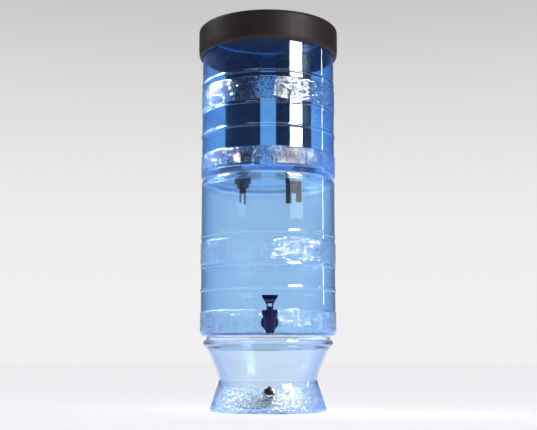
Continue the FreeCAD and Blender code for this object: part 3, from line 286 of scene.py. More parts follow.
def vector_maths(tree, operation, first, second=None):
    """A Vector Math node. The second value is a vector, a socket or, to scale by, a socket."""
    node = tree.nodes.new("ShaderNodeVectorMath")
    node.operation = operation
    tree.links.new(first, node.inputs[0])
    if isinstance(second, tuple):
        node.inputs[1].default_value = second
    elif second is not None:
        tree.links.new(second, node.inputs["Scale" if operation == "SCALE" else 1])
    return node.outputs[0]


def length_of(tree, first, second):
    """The length of two parts at right angles."""
    squares = [maths(tree, "MULTIPLY", part, part) for part in (first, second)]
    return maths(tree, "SQRT", maths(tree, "ADD", *squares))


def band_mask(tree, height, low, high, soft):
    """1 between two heights, with a soft edge."""
    rise = add_node(tree, "ShaderNodeMapRange", interpolation_type="SMOOTHSTEP")
    fall = add_node(tree, "ShaderNodeMapRange", interpolation_type="SMOOTHSTEP")
    for node, edge, to_low, to_high in ((rise, low, 0.0, 1.0), (fall, high, 1.0, 0.0)):
        tree.links.new(height, node.inputs["Value"])
        tree.links.new(maths(tree, "SUBTRACT", edge, soft), node.inputs["From Min"])
        tree.links.new(maths(tree, "ADD", edge, soft), node.inputs["From Max"])
        node.inputs["To Min"].default_value = to_low
        node.inputs["To Max"].default_value = to_high
    return maths(tree, "MULTIPLY", rise.outputs[0], fall.outputs[0])


# %% A group for pebbled bands
BAND_EDGE = 0.6 * MM
LOW_BAND_LEAN = 1.4
WALL_MARGIN = 5 * MM


def mixed_number(tree, factor, first, second):
    mix = tree.nodes.new("ShaderNodeMix")
    for socket, item in (("Factor", factor), ("A", first), ("B", second)):
        tree.links.new(item, mix.inputs[socket])
    return mix.outputs["Result"]


def build_pebble_group():
    group = bpy.data.node_groups.new("pebbled_bands", "ShaderNodeTree")
    group_socket(group, "Position", "INPUT", "NodeSocketVector")
    group_socket(group, "Plain normal", "INPUT", "NodeSocketVector")
    for name, start in (("Tilt", 0.8), ("Low band from", 0.0), ("Low band to", 0.1), ("High band from", 0.2),
                        ("High band to", 0.3), ("Outside from radius", 0.1), ("Grains per metre", 450.0),
                        ("Smooth roughness", 0.02), ("Inner roughness", 0.08), ("Pebble roughness", 0.10)):
        group_socket(group, name, "INPUT", start=start)
    group_socket(group, "Normal", "OUTPUT", "NodeSocketVector")
    for name in ("Wall", "Roughness"):
        group_socket(group, name, "OUTPUT")
    given = group.nodes.new("NodeGroupInput").outputs
    split_position = group.nodes.new("ShaderNodeSeparateXYZ")
    group.links.new(given["Position"], split_position.inputs[0])
    across, deep, height = split_position.outputs
    radius = length_of(group, across, deep)
    low = band_mask(group, height, given["Low band from"], given["Low band to"], BAND_EDGE)
    high = band_mask(group, height, given["High band from"], given["High band to"], BAND_EDGE)
    outside = maths(group, "GREATER_THAN", radius, given["Outside from radius"])
    coarser_low = maths(group, "MULTIPLY", low, LOW_BAND_LEAN)
    mask = maths(group, "MULTIPLY", maths(group, "MAXIMUM", coarser_low, high), outside)
    cells = group.nodes.new("ShaderNodeTexVoronoi")
    group.links.new(given["Position"], cells.inputs["Vector"])
    group.links.new(given["Grains per metre"], cells.inputs["Scale"])
    result = group.nodes.new("NodeGroupOutput").inputs
    centred = vector_maths(group, "SUBTRACT", cells.outputs["Color"], (0.5, 0.5, 0.5))
    leaning = vector_maths(group, "SCALE", centred, maths(group, "MULTIPLY", mask, given["Tilt"]))
    leaned = vector_maths(group, "ADD", given["Plain normal"], leaning)
    group.links.new(vector_maths(group, "NORMALIZE", leaned), result["Normal"])
    at_wall = maths(group, "SUBTRACT", given["Outside from radius"], WALL_MARGIN)
    group.links.new(maths(group, "GREATER_THAN", radius, at_wall), result["Wall"])
    wall_side = mixed_number(group, outside, given["Inner roughness"], given["Smooth roughness"])
    group.links.new(mixed_number(group, mask, wall_side, given["Pebble roughness"]), result["Roughness"])
    return group


pebbled_bands = build_pebble_group()
print("pebbled_bands has", len(pebbled_bands.nodes), "nodes")

# %% Clear plastics
PLASTIC_IOR = 1.5
GRAINS_PER_METRE = 760.0
FACING_PLACES = (0.15, 0.68, 0.95)
MIDDLE_SHARE = 0.55
CLEAR_SHADOW_SHARE = 0.9
INNER_TINT = (0.97, 0.99, 1.0)
# Painted glow colours: the clear plastics give off a faint light of their own, which stands in for light
# scattered inside them.
DEEP_BLUE_PAINTED_GLOW = (0.05, 0.25, 1.0)
PALE_PAINTED_GLOW = (0.70, 0.85, 1.0)
CHAMBER_ABSORPTION = ((0.10, 0.58, 0.97), 8.0)
STAND_ABSORPTION = ((0.30, 0.66, 0.98), 6.0)


def thin_shadow(material, share):
    """Lets this share of the light through, so that the shadow of the plastic stays pale."""
    tree = material.node_tree
    crossed = add_node(tree, "ShaderNodeLightPath")
    let_through = maths(tree, "MULTIPLY_ADD", crossed.outputs["Is Shadow Ray"], -share, 1.0)
    tree.links.new(let_through, principled(material).inputs["Alpha"])


def clear_plastic(name, face_tint, edge_tint_and_shade, absorption, bands, outside_from, tilt, painted_glow, painted_glow_tint):
    """Clear tinted plastic with a faint painted glow. The bands are the heights of the pebbled stretches of
    its outer face.
    """
    material, tree, shader = new_material(name)
    shader.inputs["IOR"].default_value = PLASTIC_IOR
    shader.inputs["Transmission Weight"].default_value = 1.0
    position = add_node(tree, "ShaderNodeTexCoord")
    pebbles = add_node(tree, "ShaderNodeGroup", node_tree=pebbled_bands)
    tree.links.new(position.outputs["Object"], pebbles.inputs["Position"])
    place = add_node(tree, "ShaderNodeMix", data_type="RGBA")
    # The deeper tint towards the edges is partly painted shade for the dark studio the edges reflect.
    facing = add_node(tree, "ShaderNodeLayerWeight", Blend=0.5)
    tint = add_node(tree, "ShaderNodeValToRGB")
    middle_tint = [face + (edge - face) * MIDDLE_SHARE for face, edge in zip(face_tint, edge_tint_and_shade)]
    ramp_stops(tint.color_ramp, list(zip(FACING_PLACES, (face_tint, middle_tint, edge_tint_and_shade))))
    tree.links.new(facing.outputs["Facing"], tint.inputs[0])
    tree.links.new(pebbles.outputs["Wall"], place.inputs["Factor"])
    place.inputs["A"].default_value = (*INNER_TINT, 1.0)
    tree.links.new(tint.outputs["Color"], place.inputs["B"])
    tree.links.new(place.outputs["Result"], shader.inputs["Base Color"])
    (low_from, low_to), (high_from, high_to) = bands
    for socket, number in (("Low band from", low_from), ("Low band to", low_to),
                           ("High band from", high_from), ("High band to", high_to),
                           ("Outside from radius", outside_from), ("Grains per metre", GRAINS_PER_METRE),
                           ("Tilt", tilt)):
        pebbles.inputs[socket].default_value = number
    shape = add_node(tree, "ShaderNodeNewGeometry")
    tree.links.new(shape.outputs["Normal"], pebbles.inputs["Plain normal"])
    tree.links.new(pebbles.outputs["Normal"], shader.inputs["Normal"])
    tree.links.new(pebbles.outputs["Roughness"], shader.inputs["Roughness"])
    # A faint painted glow, standing in for light scattered inside the plastic.
    shader.inputs["Emission Color"].default_value = (*painted_glow_tint, 1.0)
    shader.inputs["Emission Strength"].default_value = painted_glow
    thin_shadow(material, CLEAR_SHADOW_SHARE)
    wall_tint, density = absorption
    inside = add_node(tree, "ShaderNodeVolumeAbsorption", Color=(*wall_tint, 1.0), Density=density)
    tree.links.new(inside.outputs[0], tree.nodes["Material Output"].inputs["Volume"])
    return material


def chamber_plastic(name, seat, face_tint, edge_tint_and_shade, painted_glow, tilt):
    bands = [[seat + edge for edge in band] for band in (LOW_BAND, HIGH_BAND)]
    return clear_plastic(name, face_tint, edge_tint_and_shade, CHAMBER_ABSORPTION, bands, WALL_RADIUS - WALL / 2,
                         tilt, painted_glow, DEEP_BLUE_PAINTED_GLOW)


# %% [markdown]
# Opaque mouldings, rubber and metal are never one flat colour. The group below gives each of them a fine
# grain, a slow mottle, streaks or scuffs in its roughness, a little dust on what faces up and wear on its
# edges.

# %% Grain, scuffs, dust and wear
MOTTLE_SCALE = 35.0
SCUFF_SCALE = 170.0
EDGE_FROM = 0.52
EDGE_GAIN = 14.0
DUST_COLOUR = (0.55, 0.54, 0.52, 1.0)


def build_detail_group():
    group = bpy.data.node_groups.new("worn_surface", "ShaderNodeTree")
    group_socket(group, "Position", "INPUT", "NodeSocketVector")
    for name in ("Colour", "Worn colour"):
        group_socket(group, name, "INPUT", "NodeSocketColor")
    for name, start in (("Grains per metre", 900.0), ("Streak", 1.0), ("Mottle", 0.2), ("Roughness", 0.5),
                        ("Spread", 0.1), ("Wear", 0.3), ("Dust", 0.1)):
        group_socket(group, name, "INPUT", start=start)
    group_socket(group, "Colour", "OUTPUT", "NodeSocketColor")
    for name in ("Roughness", "Height"):
        group_socket(group, name, "OUTPUT")
    given = group.nodes.new("NodeGroupInput").outputs
    result = group.nodes.new("NodeGroupOutput").inputs
    stretch = add_node(group, "ShaderNodeCombineXYZ", X=1.0, Y=1.0)
    group.links.new(given["Streak"], stretch.inputs["Z"])
    squeezed = vector_maths(group, "MULTIPLY", given["Position"], stretch.outputs[0])

    def noise(scale, detail):
        node = add_node(group, "ShaderNodeTexNoise", Detail=detail)
        group.links.new(squeezed, node.inputs["Vector"])
        if isinstance(scale, float):
            node.inputs["Scale"].default_value = scale
        else:
            group.links.new(scale, node.inputs["Scale"])
        return node.outputs[0]

    grain = noise(given["Grains per metre"], 4.0)
    mottle = noise(MOTTLE_SCALE, 5.0)
    scuffs = noise(SCUFF_SCALE, 2.0)
    shape = group.nodes.new("ShaderNodeNewGeometry")
    raised = maths(group, "SUBTRACT", shape.outputs["Pointiness"], EDGE_FROM)
    edges = maths(group, "MULTIPLY", raised, EDGE_GAIN)
    worn = add_node(group, "ShaderNodeMath", operation="MULTIPLY", use_clamp=True)
    group.links.new(maths(group, "MULTIPLY", edges, scuffs), worn.inputs[0])
    group.links.new(given["Wear"], worn.inputs[1])
    facing = group.nodes.new("ShaderNodeSeparateXYZ")
    group.links.new(shape.outputs["Normal"], facing.inputs[0])
    upward = maths(group, "MAXIMUM", facing.outputs[2], 0.0)
    dust = maths(group, "MULTIPLY", maths(group, "MULTIPLY", upward, mottle), given["Dust"])

    def swing(pattern, amount):
        """From minus the amount to plus the amount, as the pattern goes from 0 to 1."""
        return maths(group, "MULTIPLY", maths(group, "SUBTRACT", pattern, 0.5),
                     maths(group, "MULTIPLY", amount, 2.0))

    shade = maths(group, "ADD", 1.0, swing(mottle, given["Mottle"]))
    mixed = vector_maths(group, "SCALE", given["Colour"], shade)
    for factor, colour in ((worn.outputs[0], given["Worn colour"]), (dust, None)):
        mix = add_node(group, "ShaderNodeMix", data_type="RGBA")
        group.links.new(factor, mix.inputs["Factor"])
        group.links.new(mixed, mix.inputs["A"])
        if colour is None:
            mix.inputs["B"].default_value = DUST_COLOUR
        else:
            group.links.new(colour, mix.inputs["B"])
        mixed = mix.outputs["Result"]
    group.links.new(mixed, result["Colour"])
    scuffed = maths(group, "ADD", given["Roughness"], swing(scuffs, given["Spread"]))
    group.links.new(maths(group, "ADD", scuffed, maths(group, "MULTIPLY", dust, 0.5)), result["Roughness"])
    group.links.new(grain, result["Height"])
    return group


worn_surface = build_detail_group()
print("worn_surface has", len(worn_surface.nodes), "nodes")

# %% Opaque and frosted finishes
FROSTED_SHADOW_SHARE = 0.8


def moulded(name, colour, worn, roughness, spread=0.08, grains=900.0, depth=0.02, streak=1.0, mottle=0.2,
            wear=0.3, dust=0.05, metallic=0.0, specular=0.5):
    """An opaque finish. Its grain's depth is in millimetres."""
    material, tree, shader = new_material(name)
    shader.inputs["Metallic"].default_value = metallic
    shader.inputs["Specular IOR Level"].default_value = specular
    position = add_node(tree, "ShaderNodeTexCoord")
    detail = add_node(tree, "ShaderNodeGroup", node_tree=worn_surface)
    tree.links.new(position.outputs["Object"], detail.inputs["Position"])
    detail.inputs["Colour"].default_value = (*colour, 1.0)
    detail.inputs["Worn colour"].default_value = (*worn, 1.0)
    for socket, number in (("Grains per metre", grains), ("Streak", streak), ("Mottle", mottle),
                           ("Roughness", roughness), ("Spread", spread), ("Wear", wear), ("Dust", dust)):
        detail.inputs[socket].default_value = number
    bump = add_node(tree, "ShaderNodeBump", Strength=1.0, Distance=depth * MM)
    tree.links.new(detail.outputs["Height"], bump.inputs["Height"])
    tree.links.new(bump.outputs[0], shader.inputs["Normal"])
    tree.links.new(detail.outputs["Colour"], shader.inputs["Base Color"])
    tree.links.new(detail.outputs["Roughness"], shader.inputs["Roughness"])
    return material


def frosted(name, colour, roughness, **detail):
    """A pale plastic that lets light through but blurs what lies behind it."""
    material = moulded(name, colour, colour, roughness, **detail)
    principled(material).inputs["Transmission Weight"].default_value = 1.0
    thin_shadow(material, FROSTED_SHADOW_SHARE)
    return material


# %% Finishes by slot
NAVY = (0.002, 0.004, 0.13)
STAND_INSIDE_RADIUS = 60 * MM
NO_BAND = (-2 * MM, -1 * MM)
STAND_BANDS = [(2 * MM, 42 * MM), NO_BAND]
# Colour, worn colour, roughness, then what differs from a plain moulding.
MOULDED = {
    "lid_plastic": ((0.024, 0.013, 0.015), (0.07, 0.05, 0.055), 0.5, dict(
        spread=0.15, grains=520.0, depth=0.12, streak=2.5, mottle=0.6, wear=0.5)),
    "tap_blue": (NAVY, (0.05, 0.07, 0.25), 0.25, dict(wear=0.1, dust=0.0, specular=0.3)),
    "black_plastic": ((0.009, 0.010, 0.014), (0.06, 0.06, 0.065), 0.45, dict(depth=0.04, specular=0.15)),
    "filter_black": ((0.006, 0.007, 0.011), (0.02, 0.02, 0.024), 0.85, dict(
        grains=1500.0, depth=0.25, mottle=0.4, wear=0.1, specular=0.04)),
    "washer_rubber": ((0.018, 0.018, 0.020), (0.05, 0.05, 0.05), 0.75, dict(
        grains=1800.0, depth=0.03, specular=0.2)),
    "seat_silicone": ((0.72, 0.73, 0.75), (0.8, 0.8, 0.8), 0.5, dict(mottle=0.05)),
    "screw_steel": ((0.58, 0.59, 0.61), (0.8, 0.8, 0.8), 0.3, dict(
        spread=0.12, grains=2600.0, depth=0.01, streak=0.12, mottle=0.15, metallic=1.0)),
    "bright_ring": ((0.84, 0.85, 0.87), (0.7, 0.7, 0.7), 0.10, dict(
        spread=0.05, grains=2200.0, depth=0.005, mottle=0.05, metallic=1.0)),
    "button_black": ((0.016, 0.006, 0.012), (0.05, 0.04, 0.05), 0.22, dict(depth=0.01, specular=0.3)),
    "board_green": ((0.02, 0.13, 0.05), (0.25, 0.18, 0.06), 0.3, dict(depth=0.03, mottle=0.25)),
    "cell_metal": ((0.10, 0.11, 0.13), (0.5, 0.5, 0.5), 0.32, dict(grains=700.0, metallic=0.6)),
    "lead_rubber": ((0.012, 0.014, 0.030), (0.05, 0.05, 0.06), 0.5, dict(grains=1500.0, specular=0.3)),
}
FROSTED = {
    "white_plastic": ((0.93, 0.96, 1.0), 0.5, dict(mottle=0.04, dust=0.0)),
    "frosted_lens": ((0.95, 0.98, 1.0), 0.35, dict(mottle=0.02, dust=0.0, grains=1800.0)),
    "lamp_clear": ((0.97, 0.98, 1.0), 0.08, dict(mottle=0.02, dust=0.0)),
}
finishes = {
    "clear_blue_plastic": chamber_plastic("clear_blue_plastic", lower_seat, (0.61, 0.81, 1.0),
                                          (0.30, 0.57, 1.0), 0.006, 0.72),
    "pale_blue_plastic": clear_plastic("pale_blue_plastic", (0.80, 0.90, 1.0), (0.20, 0.44, 0.98),
                                       STAND_ABSORPTION, STAND_BANDS, STAND_INSIDE_RADIUS, 0.42, 0.014,
                                       PALE_PAINTED_GLOW),
}
for make, table in ((moulded, MOULDED), (frosted, FROSTED)):
    for slot, (*numbers, detail) in table.items():
        finishes[slot] = make(slot, *numbers, **detail)
print(len(finishes), "finishes")

# %% Finishes on the pieces
slot_of_node = {piece["node"]: piece["material_slot"] for piece in frame["record"]["subparts"]}
# The upper chamber is the same plastic as the lower one. Its copy has a deeper tint and a stronger glow:
# painted shade from the dark lid above it, and more painted glow.
shaded_upper_finish = chamber_plastic("shaded_upper_clear_blue_plastic", upper_seat, (0.39, 0.68, 1.0), (0.19, 0.45, 1.0),
                               0.016, 0.56)
for node_name, node_object in frame["nodes"].items():
    node_object.data.materials.clear()
    node_object.data.materials.append(finishes[slot_of_node[node_name]])
frame["nodes"]["upper_chamber"].data.materials[0] = shaded_upper_finish
print(len(frame["nodes"]), "pieces finished")

# %% [markdown]
# The chambers are blow moulded, so the wall keeps its thickness and its inside follows every bead and band.
# That is why a bead shows as two thin bright lines and hardly bends what lies behind it. Both chambers come
# from one mould, so one Geometry Nodes tree turns the outline round the axis. It also presses in what isn't
# round: the flat tap pad with its raised ring, and the pebbles, which are real relief here because they
# glitter at every angle.

# %% Outline of a chamber
SEAT_RADIUS = WALL_RADIUS - 5 * MM
SPIGOT_RADIUS = SEAT_RADIUS - 5.1 * MM
BAND_RADIUS = WALL_RADIUS + 1 * MM
RIM_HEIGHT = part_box("lower_chamber")[1].z - lower_seat
SWELL_FOOT = RIM_HEIGHT - 18 * MM
SWELL_HEAD = RIM_HEIGHT - 8 * MM
FLOOR_THICK = 3.5 * MM
BAND_STEP = 0.8 * MM
CORNER_CUT = 0.6 * MM
SHARP_TURN = math.radians(25)
# Each bead is a height, half its width and how far it stands proud.
MIDDLE_BEAD = (78 * MM, 4.2 * MM, BIG_BEAD_PROUD)
BAND_BEAD = (116.6 * MM, 3 * MM, 0.9 * MM)
TOP_BEAD = (171 * MM, 3.5 * MM, 1.1 * MM)


def arc_steps(start, end, count, leaves):
    """Points of a quarter ellipse that leaves its start outwards or upwards."""
    points = []
    for i in range(1, count + 1):
        turn = math.pi / 2 * i / count
        quick, slow = math.sin(turn), 1 - math.cos(turn)
        across, along = (quick, slow) if leaves == "outwards" else (slow, quick)
        points.append((start[0] + (end[0] - start[0]) * across, start[1] + (end[1] - start[1]) * along))
    return points


def bead_steps(height, half, proud):
    """A smooth bead on the plain wall, from its lower edge up."""
    count = 6
    return [(WALL_RADIUS + proud * math.cos(math.pi * share / 2) ** 2, height + half * share)
            for share in (2 * i / count - 1 for i in range(count + 1))]


def divided(points, spacing):
    """The same outline with no step longer than the spacing."""
    result = [points[0]]
    for (r0, z0), (r1, z1) in zip(points, points[1:]):
        count = max(1, math.ceil(math.hypot(r1 - r0, z1 - z0) / spacing - 0.01))
        result += [(r0 + (r1 - r0) * i / count, z0 + (z1 - z0) * i / count) for i in range(1, count + 1)]
    return result


def softened(points, cut):
    """The outline with every sharp corner made a short curve."""
    result = [points[0]]
    for before, corner, after in zip(points, points[1:], points[2:]):
        back, ahead = Vector(before) - Vector(corner), Vector(after) - Vector(corner)
        if math.pi - back.angle(ahead) < SHARP_TURN:
            result.append(corner)
            continue
        start = Vector(corner) + back.normalized() * min(cut, back.length * 0.45)
        end = Vector(corner) + ahead.normalized() * min(cut, ahead.length * 0.45)
        for share in (0.0, 0.33, 0.67, 1.0):
            near, far = start.lerp(Vector(corner), share), Vector(corner).lerp(end, share)
            result.append(tuple(near.lerp(far, share)))
    return result + [points[-1]]


def chamber_outline(floor_lift):
    """(radius, height) points from the floor's middle up the outer face and back down the inner one."""
    low_top, (high_low, high_top) = LOW_BAND[1], HIGH_BAND
    floor_top = floor_lift + FLOOR_THICK
    corner = [(SEAT_RADIUS, 0.0)] + arc_steps((SEAT_RADIUS, 0.0), (BAND_RADIUS, LOW_BAND[0]), 6, "outwards")
    low_band = divided([(BAND_RADIUS, LOW_BAND[0]), (BAND_RADIUS, low_top)], 0.9 * MM)[1:]
    between = [(WALL_RADIUS, low_top + BAND_STEP), *bead_steps(*MIDDLE_BEAD), *bead_steps(*BAND_BEAD),
               (WALL_RADIUS, high_low - BAND_STEP)]
    high_band = divided([(BAND_RADIUS, high_low), (BAND_RADIUS, high_top)], 1.45 * MM)
    upper = [(WALL_RADIUS - 0.5 * MM, high_top + BAND_STEP), (WALL_RADIUS, high_top + 3.2 * MM),
             *bead_steps(*TOP_BEAD), (WALL_RADIUS, SWELL_FOOT), (WALL_RADIUS + 0.5 * MM, SWELL_HEAD)]
    shoulder = arc_steps((WALL_RADIUS + 0.5 * MM, SWELL_HEAD), (SEAT_RADIUS, RIM_HEIGHT), 6, "upwards")
    inside = arc_steps((SEAT_RADIUS - WALL, RIM_HEIGHT), (WALL_RADIUS - WALL, SWELL_FOOT), 5, "outwards")
    sparse_band = [(BAND_RADIUS, high_top), (BAND_RADIUS, high_low)]
    inner_wall = [*reversed(upper[:-2]), *sparse_band, *reversed(between), (BAND_RADIUS, low_top)]
    inner_wall = [(radius - WALL, height) for radius, height in inner_wall]
    foot = (BAND_RADIUS - WALL, floor_top + 2.5 * MM)
    floor_edge = arc_steps(foot, (foot[0] - 2.5 * MM, floor_top), 3, "upwards")
    spigot = [(SPIGOT_RADIUS - WALL, floor_lift), (SPIGOT_RADIUS - WALL, -SPIGOT_DROP),
              (SPIGOT_RADIUS, -SPIGOT_DROP), (SPIGOT_RADIUS, 0.0)]
    outer = [(0.0, floor_lift), *spigot, *corner, *low_band, *between, *high_band, *upper, *shoulder]
    inner = [(SEAT_RADIUS - WALL, RIM_HEIGHT), *inside, *inner_wall, foot, *floor_edge, (0.0, floor_top)]
    return softened(outer + inner, CORNER_CUT)


print(len(chamber_outline(6 * MM)), "points in the chamber's outline")

# %% [markdown]
# The tree below is the mould. Columns stand closer together at the front, where the tap pad is, so its ring
# stays crisp without a fine mesh all the way round. The pebbles are a cell pattern, pressed along the
# wall's normal.

# %% Helpers for geometry trees
def geometry_tree(name, numbers):
    """A Geometry Nodes tree with a geometry in and out and these named number inputs."""
    tree = bpy.data.node_groups.new(name, "GeometryNodeTree")
    tree.interface.new_socket(name="Geometry", in_out="INPUT", socket_type="NodeSocketGeometry")
    tree.interface.new_socket(name="Geometry", in_out="OUTPUT", socket_type="NodeSocketGeometry")
    for label, start in numbers:
        kind = "NodeSocketInt" if isinstance(start, int) else "NodeSocketFloat"
        tree.interface.new_socket(name=label, in_out="INPUT", socket_type=kind).default_value = start
    tree.interface.new_socket(name="Finish", in_out="INPUT", socket_type="NodeSocketMaterial")
    return tree, tree.nodes.new("NodeGroupInput").outputs


def joined(tree, kind, geometry, socket="Geometry", **settings):
    """Adds a geometry node and feeds it."""
    node = add_node(tree, kind, **settings)
    tree.links.new(geometry, node.inputs[socket])
    return node


def end_tree(tree, geometry, finish):
    realized = joined(tree, "GeometryNodeRealizeInstances", geometry)
    dressed = joined(tree, "GeometryNodeSetMaterial", realized.outputs[0])
    tree.links.new(finish, dressed.inputs["Material"])
    tree.links.new(dressed.outputs[0], tree.nodes.new("NodeGroupOutput").inputs[0])


def combine(tree, x, y, z):
    node = tree.nodes.new("ShaderNodeCombineXYZ")
    for socket, item in zip(node.inputs, (x, y, z)):
        if isinstance(item, (int, float)):
            socket.default_value = item
        else:
            tree.links.new(item, socket)
    return node.outputs[0]


# %% The wall, swept round the axis
PATH_RADIUS = 100 * MM
SEAM_GAP = 0.01 * MM


def column_angle(tree, given):
    """Each column's angle. The columns stand closer together at the front, where the angle is 0."""
    index = tree.nodes.new("GeometryNodeInputIndex").outputs[0]
    half_count = maths(tree, "MULTIPLY", given["Columns"], 0.5)
    share = maths(tree, "SUBTRACT", maths(tree, "DIVIDE", maths(tree, "ADD", index, 0.5), half_count), 1.0)
    spread, spacing = given["Front spread"], given["Front spacing"]
    held = maths(tree, "SUBTRACT", 1.0, maths(tree, "MULTIPLY", spread, spacing))
    open_part = maths(tree, "DIVIDE", held, maths(tree, "SUBTRACT", 1.0, spread))
    close_part = maths(tree, "SUBTRACT", open_part, 1.0)
    bend = maths(tree, "TANH", maths(tree, "DIVIDE", share, spread))
    eased = maths(tree, "SUBTRACT", maths(tree, "MULTIPLY", share, open_part),
                  maths(tree, "MULTIPLY", bend, close_part))
    return maths(tree, "MULTIPLY", math.pi, eased)


def swept_wall(tree, given):
    """Sweeps the outline round the axis and closes the poles and the seam."""
    ring = add_node(tree, "GeometryNodeCurvePrimitiveCircle", Radius=PATH_RADIUS)
    tree.links.new(given["Columns"], ring.inputs["Resolution"])
    angle = column_angle(tree, given)
    placed = joined(tree, "GeometryNodeSetPosition", ring.outputs["Curve"])
    around = combine(tree, maths(tree, "MULTIPLY", maths(tree, "SINE", angle), PATH_RADIUS),
                     maths(tree, "MULTIPLY", maths(tree, "COSINE", angle), -PATH_RADIUS), 0.0)
    tree.links.new(around, placed.inputs["Position"])
    outline = joined(tree, "GeometryNodeMeshToCurve", given["Geometry"], "Mesh")
    wall = joined(tree, "GeometryNodeCurveToMesh", placed.outputs[0], "Curve")
    tree.links.new(outline.outputs[0], wall.inputs["Profile Curve"])
    return joined(tree, "GeometryNodeMergeByDistance", wall.outputs[0], Distance=SEAM_GAP)


# %% The tap pad and the pebbles
PAD_SLOPE = 0.8 * MM
RING_SLOPE = 0.7 * MM
PEBBLE_EDGE = 0.4 * MM


def falling(tree, distance, edge, width):
    """1 nearer than the edge, 0 further away, with a slope between."""
    node = add_node(tree, "ShaderNodeMath", operation="DIVIDE", use_clamp=True)
    gap = maths(tree, "SUBTRACT", maths(tree, "ADD", edge, width / 2), distance)
    tree.links.new(gap, node.inputs[0])
    node.inputs[1].default_value = width
    return node.outputs[0]


def pad_move(tree, given, y, outside, front, from_pad):
    """How far the wall moves to make the flat pad with its raised ring. Its inside stays behind it."""
    on_pad = maths(tree, "MULTIPLY", falling(tree, from_pad, given["Pad radius"], PAD_SLOPE), front)
    ring_edge = maths(tree, "SUBTRACT", given["Pad radius"], given["Pad ring"])
    sunk = maths(tree, "MULTIPLY", falling(tree, from_pad, ring_edge, RING_SLOPE), given["Pad recess"])
    face = maths(tree, "SUBTRACT", given["Pad face"], sunk)
    back = maths(tree, "MINIMUM", maths(tree, "MULTIPLY", y, -1.0), given["Pad back"])
    target = maths(tree, "ADD", maths(tree, "MULTIPLY", face, outside),
                   maths(tree, "MULTIPLY", back, maths(tree, "SUBTRACT", 1.0, outside)))
    move = maths(tree, "MULTIPLY", maths(tree, "ADD", y, target), maths(tree, "MULTIPLY", on_pad, -1.0))
    return combine(tree, 0.0, move, 0.0)


def pebble_push(tree, given, position, z, outside, front, from_pad):
    """Pushes each pebble out along the wall's normal, in the bands and clear of the pad."""
    low = band_mask(tree, z, given["Low band from"], given["Low band to"], PEBBLE_EDGE)
    high = band_mask(tree, z, given["High band from"], given["High band to"], PEBBLE_EDGE)
    pad_edge = maths(tree, "ADD", given["Pad radius"], 1 * MM)
    near_pad = maths(tree, "MULTIPLY", falling(tree, from_pad, pad_edge, 1 * MM), front)
    in_band = maths(tree, "MULTIPLY", maths(tree, "MAXIMUM", low, high), outside)
    mask = maths(tree, "MULTIPLY", in_band, maths(tree, "SUBTRACT", 1.0, near_pad))
    cells = tree.nodes.new("ShaderNodeTexVoronoi")
    tree.links.new(position, cells.inputs["Vector"])
    tree.links.new(given["Grains per metre"], cells.inputs["Scale"])
    grain = maths(tree, "SUBTRACT", 0.5, cells.outputs["Distance"])
    depth = maths(tree, "MULTIPLY", maths(tree, "MULTIPLY", grain, mask), given["Grain depth"])
    return vector_maths(tree, "SCALE", tree.nodes.new("GeometryNodeInputNormal").outputs[0], depth)


# %% The mould's tree
PAD_FACE = 0.1187
PAD_BACK = 0.1134
OUTSIDE_FROM = 0.1158
FRONT_LIMIT = -0.1


def build_mould():
    tree, given = geometry_tree("chamber_mould", [
        ("Columns", 450), ("Front spread", 0.15), ("Front spacing", 0.35), ("Pad height", PAD_HEIGHT),
        ("Pad radius", PAD_RADIUS), ("Pad face", PAD_FACE), ("Pad recess", 0.8 * MM), ("Pad ring", 1.6 * MM),
        ("Pad back", PAD_BACK), ("Low band from", 0.0), ("Low band to", 0.0), ("High band from", 0.0),
        ("High band to", 0.0), ("Outside from radius", OUTSIDE_FROM), ("Grains per metre", 450.0),
        ("Grain depth", 0.30 * MM), ("Seat height", 0.0), ("Turn", 0.0)])
    wall = swept_wall(tree, given)
    position = tree.nodes.new("GeometryNodeInputPosition").outputs[0]
    axes = tree.nodes.new("ShaderNodeSeparateXYZ")
    tree.links.new(position, axes.inputs[0])
    x, y, z = axes.outputs
    outside = maths(tree, "GREATER_THAN", length_of(tree, x, y), given["Outside from radius"])
    from_pad = length_of(tree, x, maths(tree, "SUBTRACT", z, given["Pad height"]))
    front = maths(tree, "LESS_THAN", y, FRONT_LIMIT)

    padded = joined(tree, "GeometryNodeSetPosition", wall.outputs[0])
    tree.links.new(pad_move(tree, given, y, outside, front, from_pad), padded.inputs["Offset"])
    pebbled = joined(tree, "GeometryNodeSetPosition", padded.outputs[0])
    push = pebble_push(tree, given, position, z, outside, front, from_pad)
    tree.links.new(push, pebbled.inputs["Offset"])
    seated = joined(tree, "GeometryNodeTransform", pebbled.outputs[0])
    tree.links.new(combine(tree, 0.0, 0.0, given["Seat height"]), seated.inputs["Translation"])
    tree.links.new(combine(tree, 0.0, 0.0, given["Turn"]), seated.inputs["Rotation"])
    smooth = joined(tree, "GeometryNodeSetShadeSmooth", seated.outputs[0])
    end_tree(tree, smooth.outputs[0], given["Finish"])
    return tree


chamber_mould = build_mould()
print("mould has", len(chamber_mould.nodes), "nodes")

# %% Helpers for pieces
def set_inputs(modifier, **numbers):
    """Sets a modifier's named inputs by their sockets' identifiers."""
    found = {item.name: item.identifier for item in modifier.node_group.interface.items_tree
             if item.item_type == "SOCKET" and item.in_out == "INPUT"}
    for name, number in numbers.items():
        modifier[found[name.replace("_", " ")]] = number


